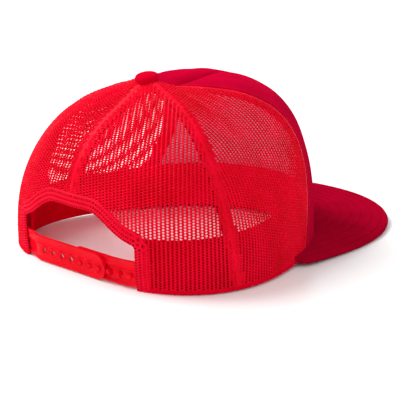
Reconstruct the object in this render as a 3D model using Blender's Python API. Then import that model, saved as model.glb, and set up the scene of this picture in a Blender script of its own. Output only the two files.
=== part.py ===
"""Five-panel trucker mesh cap: foam front, four mesh panels, flat stitched bill, snap closure.

The cap frame has its origin on the rim plane at the middle of the head, the bill towards -Y, the
wearer's left at +X and the crown along +Z. Lengths are in millimetres until a point is stored.
The cap stands on its bill's two sides and on the back of its rim, so the whole cap frame is tipped
by REST_TILT under one parent empty.
"""

import math

import bmesh
import bpy
from mathutils import Vector

MM = 0.001

# Placing of the cap frame, so that the cap's box stands centred on the world origin.
REST_TILT = math.radians(-1.13)
CAP_FRAME_Y = 45.4
CAP_FRAME_Z = 1.4

# Crown. The rim's radius is a short cosine series in the angle from the front.
RIM_MEAN_RADIUS = 90.8
RIM_HARMONICS = (8.3, -0.7, 6.9, -1.3)
CROWN_HEIGHT = 107.9
APEX_Y = 14.7
# A meridian is a cubic curve from rim to apex. Each quarter has: how far the lower handle stands
# out past the rim, its height, the upper handle's reach towards the rim, its height over the apex.
FRONT_QUARTER = (8.1, 0.71, 0.91, 6.0)
SIDE_QUARTER = (-10.8, 0.63, 0.55, 0.8)
BACK_QUARTER = (24.5, 0.77, 0.38, -9.0)
# The crease that runs forward from the button in the foam panel.
CREASE_DEPTH = 6.0
CREASE_HALF_WIDTH = 13.0
CREASE_LENGTH = 70.0
CREASE_START = 0.25

# Seams, as angles from the front: at both ends of the seam, and how far its middle bows.
FRONT_SEAM = (math.radians(61.1), math.radians(-20.0))
SIDE_SEAM = (math.radians(108.6), math.radians(2.6))
BACK_SEAM = (math.pi, 0.0)

# Fabric layers, as depths inward from the crown's outer surface.
MESH_THICKNESS = 0.9
FOAM_THICKNESS = 3.0
FOAM_EDGE_SHARE = 0.9
FOAM_FULL_SHARE = 0.78
FOAM_TOP_RADII = (30.0, 52.0)
FOAM_SHARES = (-1.0, -0.9, -0.84, -0.78, -0.62, -0.45, -0.28, -0.13,
               0.0, 0.13, 0.28, 0.45, 0.62, 0.78, 0.84, 0.9, 1.0)
TAPE_DEPTHS = (1.6, 2.35)
TAPE_HALF_WIDTH = 4.5
TAPE_TOP_SPREAD = 0.36
TAPE_TOP_RADIUS = 4.6
SWEATBAND_DEPTH = 3.2
SWEATBAND_FRONT_EXTRA = 1.4
SWEATBAND_LEAN = 2.5
SWEATBAND_THICKNESS = 1.3
SWEATBAND_HEIGHT = 30.0
SWEATBAND_ROWS = 4
SWEATBAND_COLUMNS = 45
SWEATBAND_END = math.radians(145.5)
SWEATBAND_FRONT_ANGLE = math.radians(84.0)
SWEATBAND_FRONT_EASE = math.radians(12.0)
SEAM_GAP = 0.2
GAP = 0.3

# Rear opening and its binding.
ARCH_HALF_WIDTH = 47.5
ARCH_SHOULDER = 27.5
ARCH_APEX = 42.3
ARCH_SHOULDER_SPAN = 0.7
BINDING_WIDTH = 8.0
BINDING_THICKNESS = 1.2
HEM_GAP = 0.7
HEM_CLEAR_ANGLE = math.radians(1.6)
ARCH_STEPS = 48
ARCH_LEAST_STEP = 0.5
HEM_POINTS = 81
BINDING_COLUMNS = 45
# Columns of the mesh panels, crowded where their hem steps up beside the bill and the binding.
SIDE_SHARES = (0.0, 0.12, 0.25, 0.275, 0.37, 0.48, 0.59, 0.7, 0.8, 0.9, 1.0)
BACK_SHARES = (0.0, 0.08, 0.16, 0.24, 0.32, 0.38, 0.44, 0.451, 0.485, 0.52, 0.56, 0.61, 0.67, 0.73,
               0.79, 0.86, 0.93, 1.0)

# Bill: a superellipse outline, falling to the front and arched across.
BILL_HALF_WIDTH = 90.0
BILL_TIP_Y = -170.6
BILL_WIDEST_Y = -50.2
BILL_BACK_Y = -24.0
BILL_FRONT_POWER = 2.55
BILL_BACK_POWER = 7.0
BILL_TOP = 10.2
BILL_TOP_Y = -33.4
BILL_FALL = 0.053
BILL_ARCH = 7.3
BILL_COVER = 0.6
BILL_BOARD = 1.6
BILL_ROOT_ANGLE = math.radians(72.0)
BILL_ROOT_DEPTH = 2.8
BILL_CORNER_TURN = math.radians(41.0)
BILL_STEPS = 80
BILL_COLUMNS = 39
BILL_SHARES = (0.0, 0.25, 0.5, 0.75, 0.92, 1.0)

# Button on the apex.
BUTTON_RADIUS = 7.25
BUTTON_HEIGHT = 5.2
BUTTON_LIFT = 0.6
BUTTON_TILT = math.radians(9.0)
BUTTON_EDGE = 0.8
BUTTON_FLATNESS = 0.8
BUTTON_RINGS = 6
BUTTON_SOCKET = (1.9, 3.0)
RIVET_POST_RADIUS = 1.6
RIVET_DISC = (6.5, 0.8)
RIVET_DISC_DEPTH = 4.0
APEX_HOLE_RADIUS = 2.6

# Snap straps. Their plates lean outward with the crown, and their x runs towards the left.
STRAP_LEAN = math.radians(7.4)
STRAP_THICKNESS = 1.4
STRAP_BOTTOM = 1.2
STRAP_TOP = 17.2
STRAP_END_RADIUS = 6.0
STRAP_ROOT_X = 45.7
STRAP_FLAT_X = 30.0
STRAP_ROOT_DEPTH = 2.2
STRAP_PITCH = 8.0
STRAP_HOLE_Z = 7.9
HINGE_X = 46.25
SOCKET_END_X = -25.0
SOCKET_DEPTH = 0.3
SOCKET_BEND_X = (32.0, 44.0)
SOCKET_FIRST_X = 29.0
SOCKET_COUNT = 7
SOCKET_RADIUS = 2.0
STUD_END_X = 4.5
STUD_FIRST_X = -43.0
STUD_COUNT = 6
STUD_RADIUS = 1.5
STUD_HEIGHT = 1.6
TAB_X = (47.2, 58.0)
STRAP_STEPS = 12
STRAP_END_STEPS = 5
# Rows of a strap's plate. None of them meets the holes' middle line.
STRAP_ROWS = (0.0, 0.5, 1.0)
TAB_ROWS = 4
TAB_COLUMNS = 5
ROUND_SIDES = 16

SIDES = ((1.0, "left"), (-1.0, "right"))
HEM_PASSES = 4
PANEL_ROWS = 14

# Modelling.
SHARP_ANGLE = math.radians(40.0)
NORMAL_STEP = 0.004
HIGHEST_HEM_RISE = 0.6

CRIMSON = (0.86, 0.0, 0.035)
MATERIALS = {
    "foam_front_panel": ((0.69, 0.0, 0.025), 0.85),
    "mesh": (CRIMSON, 0.55),
    "tape": ((0.76, 0.0, 0.02), 0.8),
    "sweatband": ((0.62, 0.0, 0.012), 0.85),
    "binding": (CRIMSON, 0.7),
    "bill_cover": ((0.42, 0.0, 0.02), 0.8),
    "bill_board": ((0.75, 0.73, 0.7), 0.6),
    "button": (CRIMSON, 0.75),
    "rivet": ((0.6, 0.6, 0.6), 0.35),
    "strap": ((0.8, 0.0, 0.018), 0.35),
}


# ---------------------------------------------------------------- helpers

def smoothstep(value):
    """Eased ramp from 0 at 0 to 1 at 1."""
    value = min(max(value, 0.0), 1.0)
    return value * value * (3.0 - 2.0 * value)


def bisect(function, low, high, steps=40):
    """The place between low and high where a rising function crosses zero."""
    for _ in range(steps):
        middle = 0.5 * (low + high)
        if function(middle) < 0.0:
            low = middle
        else:
            high = middle
    return 0.5 * (low + high)


def resample(points, count):
    """Points at even distances along a polyline, both ends included."""
    lengths = [0.0]
    for start, end in zip(points, points[1:]):
        lengths.append(lengths[-1] + math.dist(start, end))
    result = []
    piece = 0
    for index in range(count):
        target = lengths[-1] * index / (count - 1)
        while piece < len(points) - 2 and lengths[piece + 1] < target:
            piece += 1
        span = lengths[piece + 1] - lengths[piece]
        part = (target - lengths[piece]) / span
        pair = zip(points[piece], points[piece + 1])
        result.append(tuple(a + (b - a) * part for a, b in pair))
    return result


def material(name, key):
    """A Principled material of the colour and roughness listed under key."""
    color, roughness = MATERIALS[key]
    result = bpy.data.materials.new(name)
    result.use_nodes = True
    shader = result.node_tree.nodes["Principled BSDF"]
    shader.inputs["Base Color"].default_value = (*color, 1.0)
    shader.inputs["Roughness"].default_value = roughness
    shader.inputs["Metallic"].default_value = 1.0 if key == "rivet" else 0.0
    return result


def empty(name, location, rotation, parent=None):
    """An empty that carries a frame or a joint axis."""
    result = bpy.data.objects.new(name, None)
    result.location = [MM * value for value in location]
    result.rotation_euler = rotation
    result.parent = parent
    bpy.context.scene.collection.objects.link(result)
    return result


def add_object(mesh, key, parent):
    """Link a mesh under its parent, smooth shaded, with its own material."""
    mesh.materials.append(material(mesh.name, key))
    mesh.shade_smooth()
    mesh.set_sharp_from_angle(angle=SHARP_ANGLE)
    result = bpy.data.objects.new(mesh.name, mesh)
    result.parent = parent
    bpy.context.scene.collection.objects.link(result)
    return result


def mesh_from(name, points, faces):
    """A mesh with its faces turned outward, from points in millimetres."""
    body = bmesh.new()
    corners = [body.verts.new([MM * value for value in point]) for point in points]
    for face in faces:
        body.faces.new([corners[index] for index in face])
    bmesh.ops.recalc_face_normals(body, faces=body.faces)
    mesh = bpy.data.meshes.new(name)
    body.to_mesh(mesh)
    body.free()
    return mesh


def shell(name, outer, inner):
    """A closed sheet between two grids of points with the same rows and columns."""
    rows = len(outer)
    columns = len(outer[0])
    points = [point for grid in (outer, inner) for row in grid for point in row]

    def at(side, row, column):
        return side * rows * columns + row * columns + column

    faces = []
    for row in range(rows - 1):
        for column in range(columns - 1):
            for side in (0, 1):
                faces.append((at(side, row, column), at(side, row, column + 1),
                              at(side, row + 1, column + 1), at(side, row + 1, column)))
    border = [(0, column) for column in range(columns)]
    border += [(row, columns - 1) for row in range(1, rows)]
    border += [(rows - 1, column) for column in range(columns - 2, -1, -1)]
    border += [(row, 0) for row in range(rows - 2, 0, -1)]
    for start, end in zip(border, border[1:] + border[:1]):
        faces.append((at(0, *start), at(0, *end), at(1, *end), at(1, *start)))
    return mesh_from(name, points, faces)


# ---------------------------------------------------------------- the crown's surface

def rim_radius(angle):
    """Distance of the rim from the cap frame's origin, at an angle from the front."""
    radius = RIM_MEAN_RADIUS
    for order, size in enumerate(RIM_HARMONICS, start=1):
        radius += size * math.cos(order * angle)
    return radius


def rim_point(angle):
    """The rim's outer line, seen from above."""
    radius = rim_radius(angle)
    return radius * math.sin(angle), -radius * math.cos(angle)


def crease(x, y):
    """How far the foam panel dips along its centre line, forward of the button."""
    ahead = (APEX_Y - y) / CREASE_LENGTH
    along = smoothstep(ahead / CREASE_START) * (1.0 - smoothstep(ahead))
    return CREASE_DEPTH * along * math.exp(-(x / CREASE_HALF_WIDTH) ** 2)


def bare_point(angle, rise):
    """A point of the outer surface, from rise 0 on the rim to 1 at the apex."""
    front = max(math.cos(angle), 0.0) ** 2
    back = max(-math.cos(angle), 0.0) ** 2
    weights = (front, 1.0 - front - back, back)
    quarters = zip(FRONT_QUARTER, SIDE_QUARTER, BACK_QUARTER)
    bulge, lower, reach, lift = [sum(w * q for w, q in zip(weights, values)) for values in quarters]
    x, y = rim_point(angle)
    length = math.hypot(x, y - APEX_Y)
    fall = 1.0 - rise
    radial = (length * fall ** 3 + (length + bulge) * 3.0 * rise * fall ** 2
              + reach * length * 3.0 * rise ** 2 * fall)
    height = (lower * CROWN_HEIGHT * 3.0 * rise * fall ** 2
              + (CROWN_HEIGHT + lift) * 3.0 * rise ** 2 * fall + CROWN_HEIGHT * rise ** 3)
    px = x / length * radial
    py = APEX_Y + (y - APEX_Y) / length * radial
    return Vector((px, py, height - crease(px, py)))


def crown_point(angle, rise, depth=0.0):
    """A point at a depth inside the outer surface, along its normal."""
    low = max(rise - NORMAL_STEP, 0.0)
    high = min(rise + NORMAL_STEP, 1.0)
    up = bare_point(angle, high) - bare_point(angle, low)
    around = bare_point(angle + NORMAL_STEP, rise) - bare_point(angle - NORMAL_STEP, rise)
    normal = around.cross(up).normalized()
    return bare_point(angle, rise) - normal * depth


def rise_at_height(angle, height):
    """How far up a meridian the surface reaches a height."""
    return bisect(lambda rise: bare_point(angle, rise).z - height, 0.0, HIGHEST_HEM_RISE)


def rise_at_radius(angle, radius):
    """How far up a meridian the surface comes within a distance of the crown's axis."""
    def inside(rise):
        point = bare_point(angle, rise)
        return radius - math.hypot(point.x, point.y - APEX_Y)
    return bisect(inside, 0.5, 1.0)


def seam_angle(seam, rise):
    """Angle of a seam at a rise."""
    ends, bow = seam
    return ends + bow * math.sin(math.pi * rise)


# ---------------------------------------------------------------- lower edge of the crown

def bill_top(x, y):
    """Height of the bill's upper face."""
    return BILL_TOP - BILL_FALL * (BILL_TOP_Y - y) - BILL_ARCH * (x / BILL_HALF_WIDTH) ** 2


def arch_height(x):
    """Height of the rear opening's edge, shouldered at its ends and round at its middle."""
    part = smoothstep((1.0 - abs(x) / ARCH_HALF_WIDTH) / ARCH_SHOULDER_SPAN)
    return ARCH_SHOULDER + (ARCH_APEX - ARCH_SHOULDER) * part


def arch_line(offset, count):
    """The opening's edge moved outward by an offset, as evenly spaced (x, z) points."""
    edge = [(-ARCH_HALF_WIDTH, 0.0)]
    for index in range(ARCH_STEPS + 1):
        x = ARCH_HALF_WIDTH * (2.0 * index / ARCH_STEPS - 1.0)
        edge.append((x, arch_height(x)))
    edge.append((ARCH_HALF_WIDTH, 0.0))
    return resample(moved_outward(edge, offset), count)


def moved_outward(edge, offset):
    """A line moved away from the opening, with its two ends kept on the rim plane."""
    moved = [(edge[0][0] - offset, 0.0)]
    for start, end in zip(edge, edge[1:]):
        length = math.dist(start, end)
        across = (-(end[1] - start[1]) / length, (end[0] - start[0]) / length)
        for corner in (start, end):
            point = (corner[0] + across[0] * offset, corner[1] + across[1] * offset)
            if point[1] > 0.0 and math.dist(point, moved[-1]) > ARCH_LEAST_STEP:
                moved.append(point)
    moved.append((edge[-1][0] + offset, 0.0))
    return moved


HEM_LINE = arch_line(BINDING_WIDTH + HEM_GAP, HEM_POINTS)


def hem_over_arch(x):
    """Height of the binding's upper edge over a place across the opening."""
    for start, end in zip(HEM_LINE, HEM_LINE[1:]):
        if start[0] <= x < end[0]:
            part = (x - start[0]) / (end[0] - start[0])
            return start[1] + (end[1] - start[1]) * part
    return 0.0


def panel_hem(angle, rise):
    """Height of the panels' lower edge: over the bill, along the binding, or on the rim plane."""
    x, y = rim_point(angle)
    if abs(angle) < BILL_ROOT_ANGLE + HEM_CLEAR_ANGLE:
        return bill_top(x, y) + HEM_GAP
    if y > 0.0:
        return hem_over_arch(bare_point(angle, rise).x)
    return 0.0


def surface_over(x, z, depth):
    """The point of the crown's back at a depth, over a given x and z."""
    side = 1.0 if x >= 0.0 else -1.0
    angle = bisect(lambda a: abs(x) - bare_point(a, rise_at_height(a, z)).x,
                   math.radians(90.0), math.pi)
    return crown_point(side * angle, rise_at_height(angle, z), depth)


# ---------------------------------------------------------------- crown pieces

def crown_grid(angle_at, shares, rows, depth_at, hem=panel_hem, top_radius=APEX_HOLE_RADIUS):
    """Rows of points from a hem to near the apex.

    angle_at(share, rise) places a column, and depth_at(angle, rise) its depth.
    """
    grid = []
    for row in range(rows):
        points = []
        for share in shares:
            rise = 0.0
            for _ in range(HEM_PASSES):
                angle = angle_at(share, rise)
                bottom = rise_at_height(angle, hem(angle, rise))
                top = rise_at_radius(angle, top_radius)
                rise = bottom + (top - bottom) * row / (rows - 1)
            points.append(crown_point(angle, rise, depth_at(angle, rise)))
        grid.append(points)
    return grid


def axis_distance(angle, rise):
    """Distance of a surface point from the vertical line through the apex."""
    point = bare_point(angle, rise)
    return max(math.hypot(point.x, point.y - APEX_Y), APEX_HOLE_RADIUS)


def between_seams(side, near, far):
    """Columns between two seams on one side of the cap, a little clear of both."""
    def angle_at(share, rise):
        clear = 0.5 * SEAM_GAP / axis_distance(far[0], rise)
        low = seam_angle(near, rise) + clear
        high = seam_angle(far, rise) - clear
        return side * (low + (high - low) * share)
    return angle_at


def foam_depth(angle, rise):
    """Thickness of the foam panel, pressed thin along its two seams and under the button."""
    share = abs(angle) / seam_angle(FRONT_SEAM, rise)
    inner, outer = FOAM_TOP_RADII
    across = smoothstep((FOAM_EDGE_SHARE - share) / (FOAM_EDGE_SHARE - FOAM_FULL_SHARE))
    along = smoothstep((axis_distance(angle, rise) - inner) / (outer - inner))
    return MESH_THICKNESS + (FOAM_THICKNESS - MESH_THICKNESS) * across * along


def even_shares(count, low=0.0, high=1.0):
    """Evenly spaced column places."""
    return [low + (high - low) * index / (count - 1) for index in range(count)]


def add_front_panel(parent):
    """The laminated foam panel over the forehead."""
    def angle_at(share, rise):
        edge = seam_angle(FRONT_SEAM, rise) - 0.5 * SEAM_GAP / axis_distance(0.0, rise)
        return edge * share
    outer = crown_grid(angle_at, FOAM_SHARES, PANEL_ROWS, lambda angle, rise: 0.0)
    inner = crown_grid(angle_at, FOAM_SHARES, PANEL_ROWS, foam_depth)
    add_object(shell("front_foam_panel", outer, inner), "foam_front_panel", parent)


def add_mesh_panels(parent):
    """The two side and two back panels of open mesh."""
    for side, side_name in SIDES:
        for name, near, far, shares in (("side_mesh", FRONT_SEAM, SIDE_SEAM, SIDE_SHARES),
                                        ("back_mesh", SIDE_SEAM, BACK_SEAM, BACK_SHARES)):
            angle_at = between_seams(side, near, far)
            outer = crown_grid(angle_at, shares, PANEL_ROWS, lambda angle, rise: 0.0)
            inner = crown_grid(angle_at, shares, PANEL_ROWS, lambda angle, rise: MESH_THICKNESS)
            add_object(shell(f"{name}_{side_name}", outer, inner), "mesh", parent)


def add_seam_tapes(parent):
    """The folded tapes that cover the seams inside the crown."""
    runs = [(f"front_seam_tape_{name}", side, FRONT_SEAM) for side, name in SIDES]
    runs += [(f"side_seam_tape_{name}", side, SIDE_SEAM) for side, name in SIDES]
    runs.append(("back_seam_tape", 1.0, BACK_SEAM))
    for name, side, seam in runs:
        def angle_at(share, rise, side=side, seam=seam):
            reach = axis_distance(seam[0], rise)
            half = min(TAPE_HALF_WIDTH, TAPE_TOP_SPREAD * reach)
            return side * seam_angle(seam, rise) + share * half / reach
        outer, inner = [crown_grid(angle_at, (-1.0, 0.0, 1.0), PANEL_ROWS,
                                   lambda angle, rise, depth=depth: depth,
                                   top_radius=TAPE_TOP_RADIUS) for depth in TAPE_DEPTHS]
        add_object(shell(name, outer, inner), "tape", parent)


def add_sweatband(parent):
    """The band around the head, open at the back between the strap tabs."""
    grids = []
    for thickness in (0.0, SWEATBAND_THICKNESS):
        grid = []
        for share in even_shares(SWEATBAND_ROWS):
            points = []
            for angle in even_shares(SWEATBAND_COLUMNS, -SWEATBAND_END, SWEATBAND_END):
                front = smoothstep((SWEATBAND_FRONT_ANGLE - abs(angle)) / SWEATBAND_FRONT_EASE)
                depth = SWEATBAND_DEPTH + SWEATBAND_FRONT_EXTRA * front + SWEATBAND_LEAN * share
                height = SWEATBAND_HEIGHT * share
                point = crown_point(angle, rise_at_height(angle, height), depth + thickness)
                point.z = height
                points.append(point)
            grid.append(points)
        grids.append(grid)
    add_object(shell("sweatband", *grids), "sweatband", parent)


def add_arch_binding(parent):
    """The folded edge of the rear opening."""
    grids = []
    for depth in (0.0, BINDING_THICKNESS):
        grid = []
        for offset in (0.0, 0.5 * BINDING_WIDTH, BINDING_WIDTH):
            line = arch_line(offset, BINDING_COLUMNS)
            grid.append([surface_over(x, z, depth) for x, z in line])
        grids.append(grid)
    add_object(shell("arch_binding", *grids), "binding", parent)


# ---------------------------------------------------------------- bill

def bill_outline(count):
    """The bill's outer edge from the right corner round the tip to the left corner."""
    half = []
    for index in range(BILL_STEPS + 1):
        turn = (0.5 * math.pi + BILL_CORNER_TURN) * index / BILL_STEPS
        front = turn <= 0.5 * math.pi
        power = 2.0 / (BILL_FRONT_POWER if front else BILL_BACK_POWER)
        reach = (BILL_TIP_Y if front else BILL_BACK_Y) - BILL_WIDEST_Y
        x = BILL_HALF_WIDTH * abs(math.sin(turn)) ** power
        half.append((x, BILL_WIDEST_Y + reach * abs(math.cos(turn)) ** power))
    mirrored = [(-x, y) for x, y in reversed(half[1:])]
    return resample(mirrored + half, count)


def bill_root(count):
    """The bill's inner edge, tucked in under the crown."""
    line = []
    for angle in even_shares(BILL_STEPS, -BILL_ROOT_ANGLE, BILL_ROOT_ANGLE):
        x, y = rim_point(angle)
        length = math.hypot(x, y)
        scale = (length - BILL_ROOT_DEPTH) / length
        line.append((x * scale, y * scale))
    return resample(line, count)


def bill_row(share, inset, drop):
    """A row of bill points at a share of the way out, an inset from the edge, below the top."""
    points = []
    for start, end in zip(bill_root(BILL_COLUMNS), bill_outline(BILL_COLUMNS)):
        part = share - inset / math.dist(start, end)
        x = start[0] + (end[0] - start[0]) * part
        y = start[1] + (end[1] - start[1]) * part
        points.append((x, y, bill_top(x, y) - drop))
    return points


def add_bill(parent):
    """Two fabric covers over a stiff board. The covers' edges turn in to meet around the board."""
    thickness = 2.0 * (BILL_COVER + GAP) + BILL_BOARD
    lips = {"bill_top_cover": (0.0, BILL_COVER, 0.5 * (thickness - GAP)),
            "bill_under_cover": (thickness, thickness - BILL_COVER, 0.5 * (thickness + GAP))}
    for name, (outer_drop, inner_drop, lip_drop) in lips.items():
        outer = [bill_row(share, 0.0, outer_drop) for share in BILL_SHARES]
        outer.append(bill_row(1.0, 0.0, lip_drop))
        inner = [bill_row(share, 0.0, inner_drop) for share in BILL_SHARES[:-1]]
        inner.append(bill_row(1.0, BILL_COVER, inner_drop))
        inner.append(bill_row(1.0, BILL_COVER, lip_drop))
        add_object(shell(name, outer, inner), "bill_cover", parent)
    board = []
    for drop in (BILL_COVER + GAP, BILL_COVER + GAP + BILL_BOARD):
        rows = [bill_row(share, 0.0, drop) for share in BILL_SHARES[:-1]]
        rows.append(bill_row(1.0, BILL_COVER + GAP, drop))
        board.append(rows)
    add_object(shell("bill_board", *board), "bill_board", parent)


# ---------------------------------------------------------------- button

def turned(name, profile, sides):
    """A solid of revolution about +Z. The profile runs from one axis point to the other."""
    points = [(0.0, 0.0, profile[0][1])]
    for radius, height in profile[1:-1]:
        for index in range(sides):
            turn = 2.0 * math.pi * index / sides
            points.append((radius * math.cos(turn), radius * math.sin(turn), height))
    points.append((0.0, 0.0, profile[-1][1]))
    faces = []
    rings = len(profile) - 2
    for index in range(sides):
        after = (index + 1) % sides
        faces.append((0, 1 + index, 1 + after))
        for ring in range(rings - 1):
            low = 1 + ring * sides
            high = low + sides
            faces.append((low + index, low + after, high + after, high + index))
        last = 1 + (rings - 1) * sides
        faces.append((last + index, last + after, len(points) - 1))
    return mesh_from(name, points, faces)


def add_button(parent):
    """The covered button on the apex and the rivet that holds it from inside."""
    axis = empty("button_axis", (0.0, APEX_Y, CROWN_HEIGHT), (-BUTTON_TILT, 0.0, 0.0), parent)
    socket_radius, socket_depth = BUTTON_SOCKET
    dome = [(0.0, BUTTON_LIFT + socket_depth), (socket_radius, BUTTON_LIFT + socket_depth),
            (socket_radius, BUTTON_LIFT), (BUTTON_RADIUS - BUTTON_EDGE, BUTTON_LIFT),
            (BUTTON_RADIUS, BUTTON_LIFT + BUTTON_EDGE)]
    for index in range(1, BUTTON_RINGS):
        turn = 0.5 * math.pi * index / BUTTON_RINGS
        dome.append((BUTTON_RADIUS * math.cos(turn) ** BUTTON_FLATNESS,
                     BUTTON_LIFT + BUTTON_EDGE + (BUTTON_HEIGHT - BUTTON_EDGE) * math.sin(turn)))
    dome.append((0.0, BUTTON_LIFT + BUTTON_HEIGHT))
    add_object(turned("button_cap", dome, ROUND_SIDES), "button", axis)
    disc_radius, disc_thickness = RIVET_DISC
    post_top = BUTTON_LIFT + socket_depth - GAP
    rivet = [(0.0, -RIVET_DISC_DEPTH - disc_thickness),
             (disc_radius, -RIVET_DISC_DEPTH - disc_thickness), (disc_radius, -RIVET_DISC_DEPTH),
             (RIVET_POST_RADIUS, -RIVET_DISC_DEPTH), (RIVET_POST_RADIUS, post_top), (0.0, post_top)]
    add_object(turned("button_rivet", rivet, ROUND_SIDES), "rivet", axis)


# ---------------------------------------------------------------- snap straps

def rim_back_y(x):
    """The rim's y at the back, over a place across it."""
    angle = bisect(lambda a: abs(x) - rim_point(a)[0], math.radians(100.0), math.pi)
    return rim_point(angle)[1]


def strap_middle(x, overlapping):
    """The y of a strap's middle plane in the strap frame."""
    depth = STRAP_ROOT_DEPTH
    if overlapping:
        near, far = SOCKET_BEND_X
        depth = SOCKET_DEPTH + (depth - SOCKET_DEPTH) * smoothstep((abs(x) - near) / (far - near))
    return rim_back_y(max(abs(x), STRAP_FLAT_X)) - rim_back_y(STRAP_ROOT_X) - depth


def strap_stations(root_x, end_x):
    """Places along a strap with its lower and upper edge, rounded at its free end."""
    direction = 1.0 if end_x > root_x else -1.0
    straight = end_x - direction * STRAP_END_RADIUS
    stations = [(x, STRAP_BOTTOM, STRAP_TOP) for x in even_shares(STRAP_STEPS, root_x, straight)]
    for index in range(1, STRAP_END_STEPS + 1):
        turn = 0.5 * math.pi * index / STRAP_END_STEPS
        cut = STRAP_END_RADIUS * (1.0 - math.cos(turn))
        x = straight + direction * STRAP_END_RADIUS * math.sin(turn)
        stations.append((x, STRAP_BOTTOM + cut, STRAP_TOP - cut))
    return stations


def strap_mesh(name, root_x, end_x, hinge):
    """A strap's plate, bent to the rim, given about its hinge."""
    overlapping = end_x < root_x
    sides = []
    for offset in (0.5 * STRAP_THICKNESS, -0.5 * STRAP_THICKNESS):
        rows = []
        for share in STRAP_ROWS:
            row = []
            for x, low, high in strap_stations(root_x, end_x):
                y = strap_middle(x, overlapping) + offset
                row.append(Vector((x, y, low + (high - low) * share)) - hinge)
            rows.append(row)
        sides.append(rows)
    return shell(name, *sides)


def rounds(name, places, radius, y_range, hinge, parent):
    """Hidden cylinders through a strap, as tools for its holes or studs."""
    tools = []
    for number, x in enumerate(places):
        body = bmesh.new()
        bmesh.ops.create_cone(body, cap_ends=True, segments=ROUND_SIDES, radius1=MM * radius,
                              radius2=MM * radius, depth=MM * (y_range[1] - y_range[0]))
        mesh = bpy.data.meshes.new(f"{name}_{number}")
        body.to_mesh(mesh)
        body.free()
        tool = bpy.data.objects.new(mesh.name, mesh)
        place = Vector((x, 0.5 * (y_range[0] + y_range[1]), STRAP_HOLE_Z)) - hinge
        tool.location = place * MM
        tool.rotation_euler = (0.5 * math.pi, 0.0, 0.0)
        tool.parent = parent
        tool.hide_render = True
        tool.display_type = "WIRE"
        bpy.context.scene.collection.objects.link(tool)
        tools.append(tool)
    return tools


def boolean(target, operation, tools):
    """Join the tools to a solid or cut them from it."""
    for tool in tools:
        modifier = target.modifiers.new(tool.name, "BOOLEAN")
        modifier.operation = operation
        modifier.object = tool


def add_straps(parent):
    """The socket strap, sewn at the left and outermost, and the stud strap behind it."""
    place = (0.0, rim_back_y(STRAP_ROOT_X), 0.0)
    frame = empty("strap_frame", place, (-STRAP_LEAN, 0.0, 0.0), parent)

    hinge = Vector((HINGE_X, -STRAP_ROOT_DEPTH, 0.0))
    axis = empty("socket_hinge", hinge, (0.0, 0.0, 0.0), frame)
    mesh = strap_mesh("socket_strap", STRAP_ROOT_X, SOCKET_END_X, hinge)
    strap = add_object(mesh, "strap", axis)
    places = [SOCKET_FIRST_X - STRAP_PITCH * index for index in range(SOCKET_COUNT)]
    middle = strap_middle(0.0, True)
    through = (middle - STRAP_THICKNESS, middle + STRAP_THICKNESS)
    boolean(strap, "DIFFERENCE",
            rounds("socket_cutter", places, SOCKET_RADIUS, through, hinge, axis))

    hinge = Vector((-HINGE_X, -STRAP_ROOT_DEPTH, 0.0))
    axis = empty("stud_hinge", hinge, (0.0, 0.0, 0.0), frame)
    mesh = strap_mesh("stud_strap", -STRAP_ROOT_X, STUD_END_X, hinge)
    strap = add_object(mesh, "strap", axis)
    places = [STUD_FIRST_X + STRAP_PITCH * index for index in range(STUD_COUNT)]
    for number, x in enumerate(places):
        outer = strap_middle(x, False) + 0.5 * STRAP_THICKNESS
        reach = (outer - 0.5 * STRAP_THICKNESS, outer + STUD_HEIGHT)
        boolean(strap, "UNION", rounds(f"stud_{number}", [x], STUD_RADIUS, reach, hinge, axis))


def add_strap_tabs(parent):
    """The straps' own ends, sewn in between the mesh and the sweatband."""
    for name, side in (("socket_strap_tab", 1.0), ("stud_strap_tab", -1.0)):
        grids = []
        for offset in (-0.5 * STRAP_THICKNESS, 0.5 * STRAP_THICKNESS):
            rows = []
            for z in even_shares(TAB_ROWS, STRAP_BOTTOM, STRAP_TOP):
                rows.append([surface_over(side * x, z, STRAP_ROOT_DEPTH + offset)
                             for x in even_shares(TAB_COLUMNS, *TAB_X)])
            grids.append(rows)
        add_object(shell(name, *grids), "strap", parent)


def main():
    """Build the cap."""
    for old in list(bpy.data.objects):
        bpy.data.objects.remove(old, do_unlink=True)
    cap = empty("cap_frame", (0.0, CAP_FRAME_Y, CAP_FRAME_Z), (REST_TILT, 0.0, 0.0))
    add_front_panel(cap)
    add_mesh_panels(cap)
    add_seam_tapes(cap)
    add_sweatband(cap)
    add_arch_binding(cap)
    add_bill(cap)
    add_button(cap)
    add_straps(cap)
    add_strap_tabs(cap)


main()
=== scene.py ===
"""The looks of the trucker mesh cap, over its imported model.

Shapes are worked out in the cap frame: millimetres, the origin on the rim plane at the middle of the
head, the bill towards -Y, the wearer's left at +X. world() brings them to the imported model's frame.
"""

import math

import bpy
import numpy as np
from mathutils import Matrix, Vector

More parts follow.
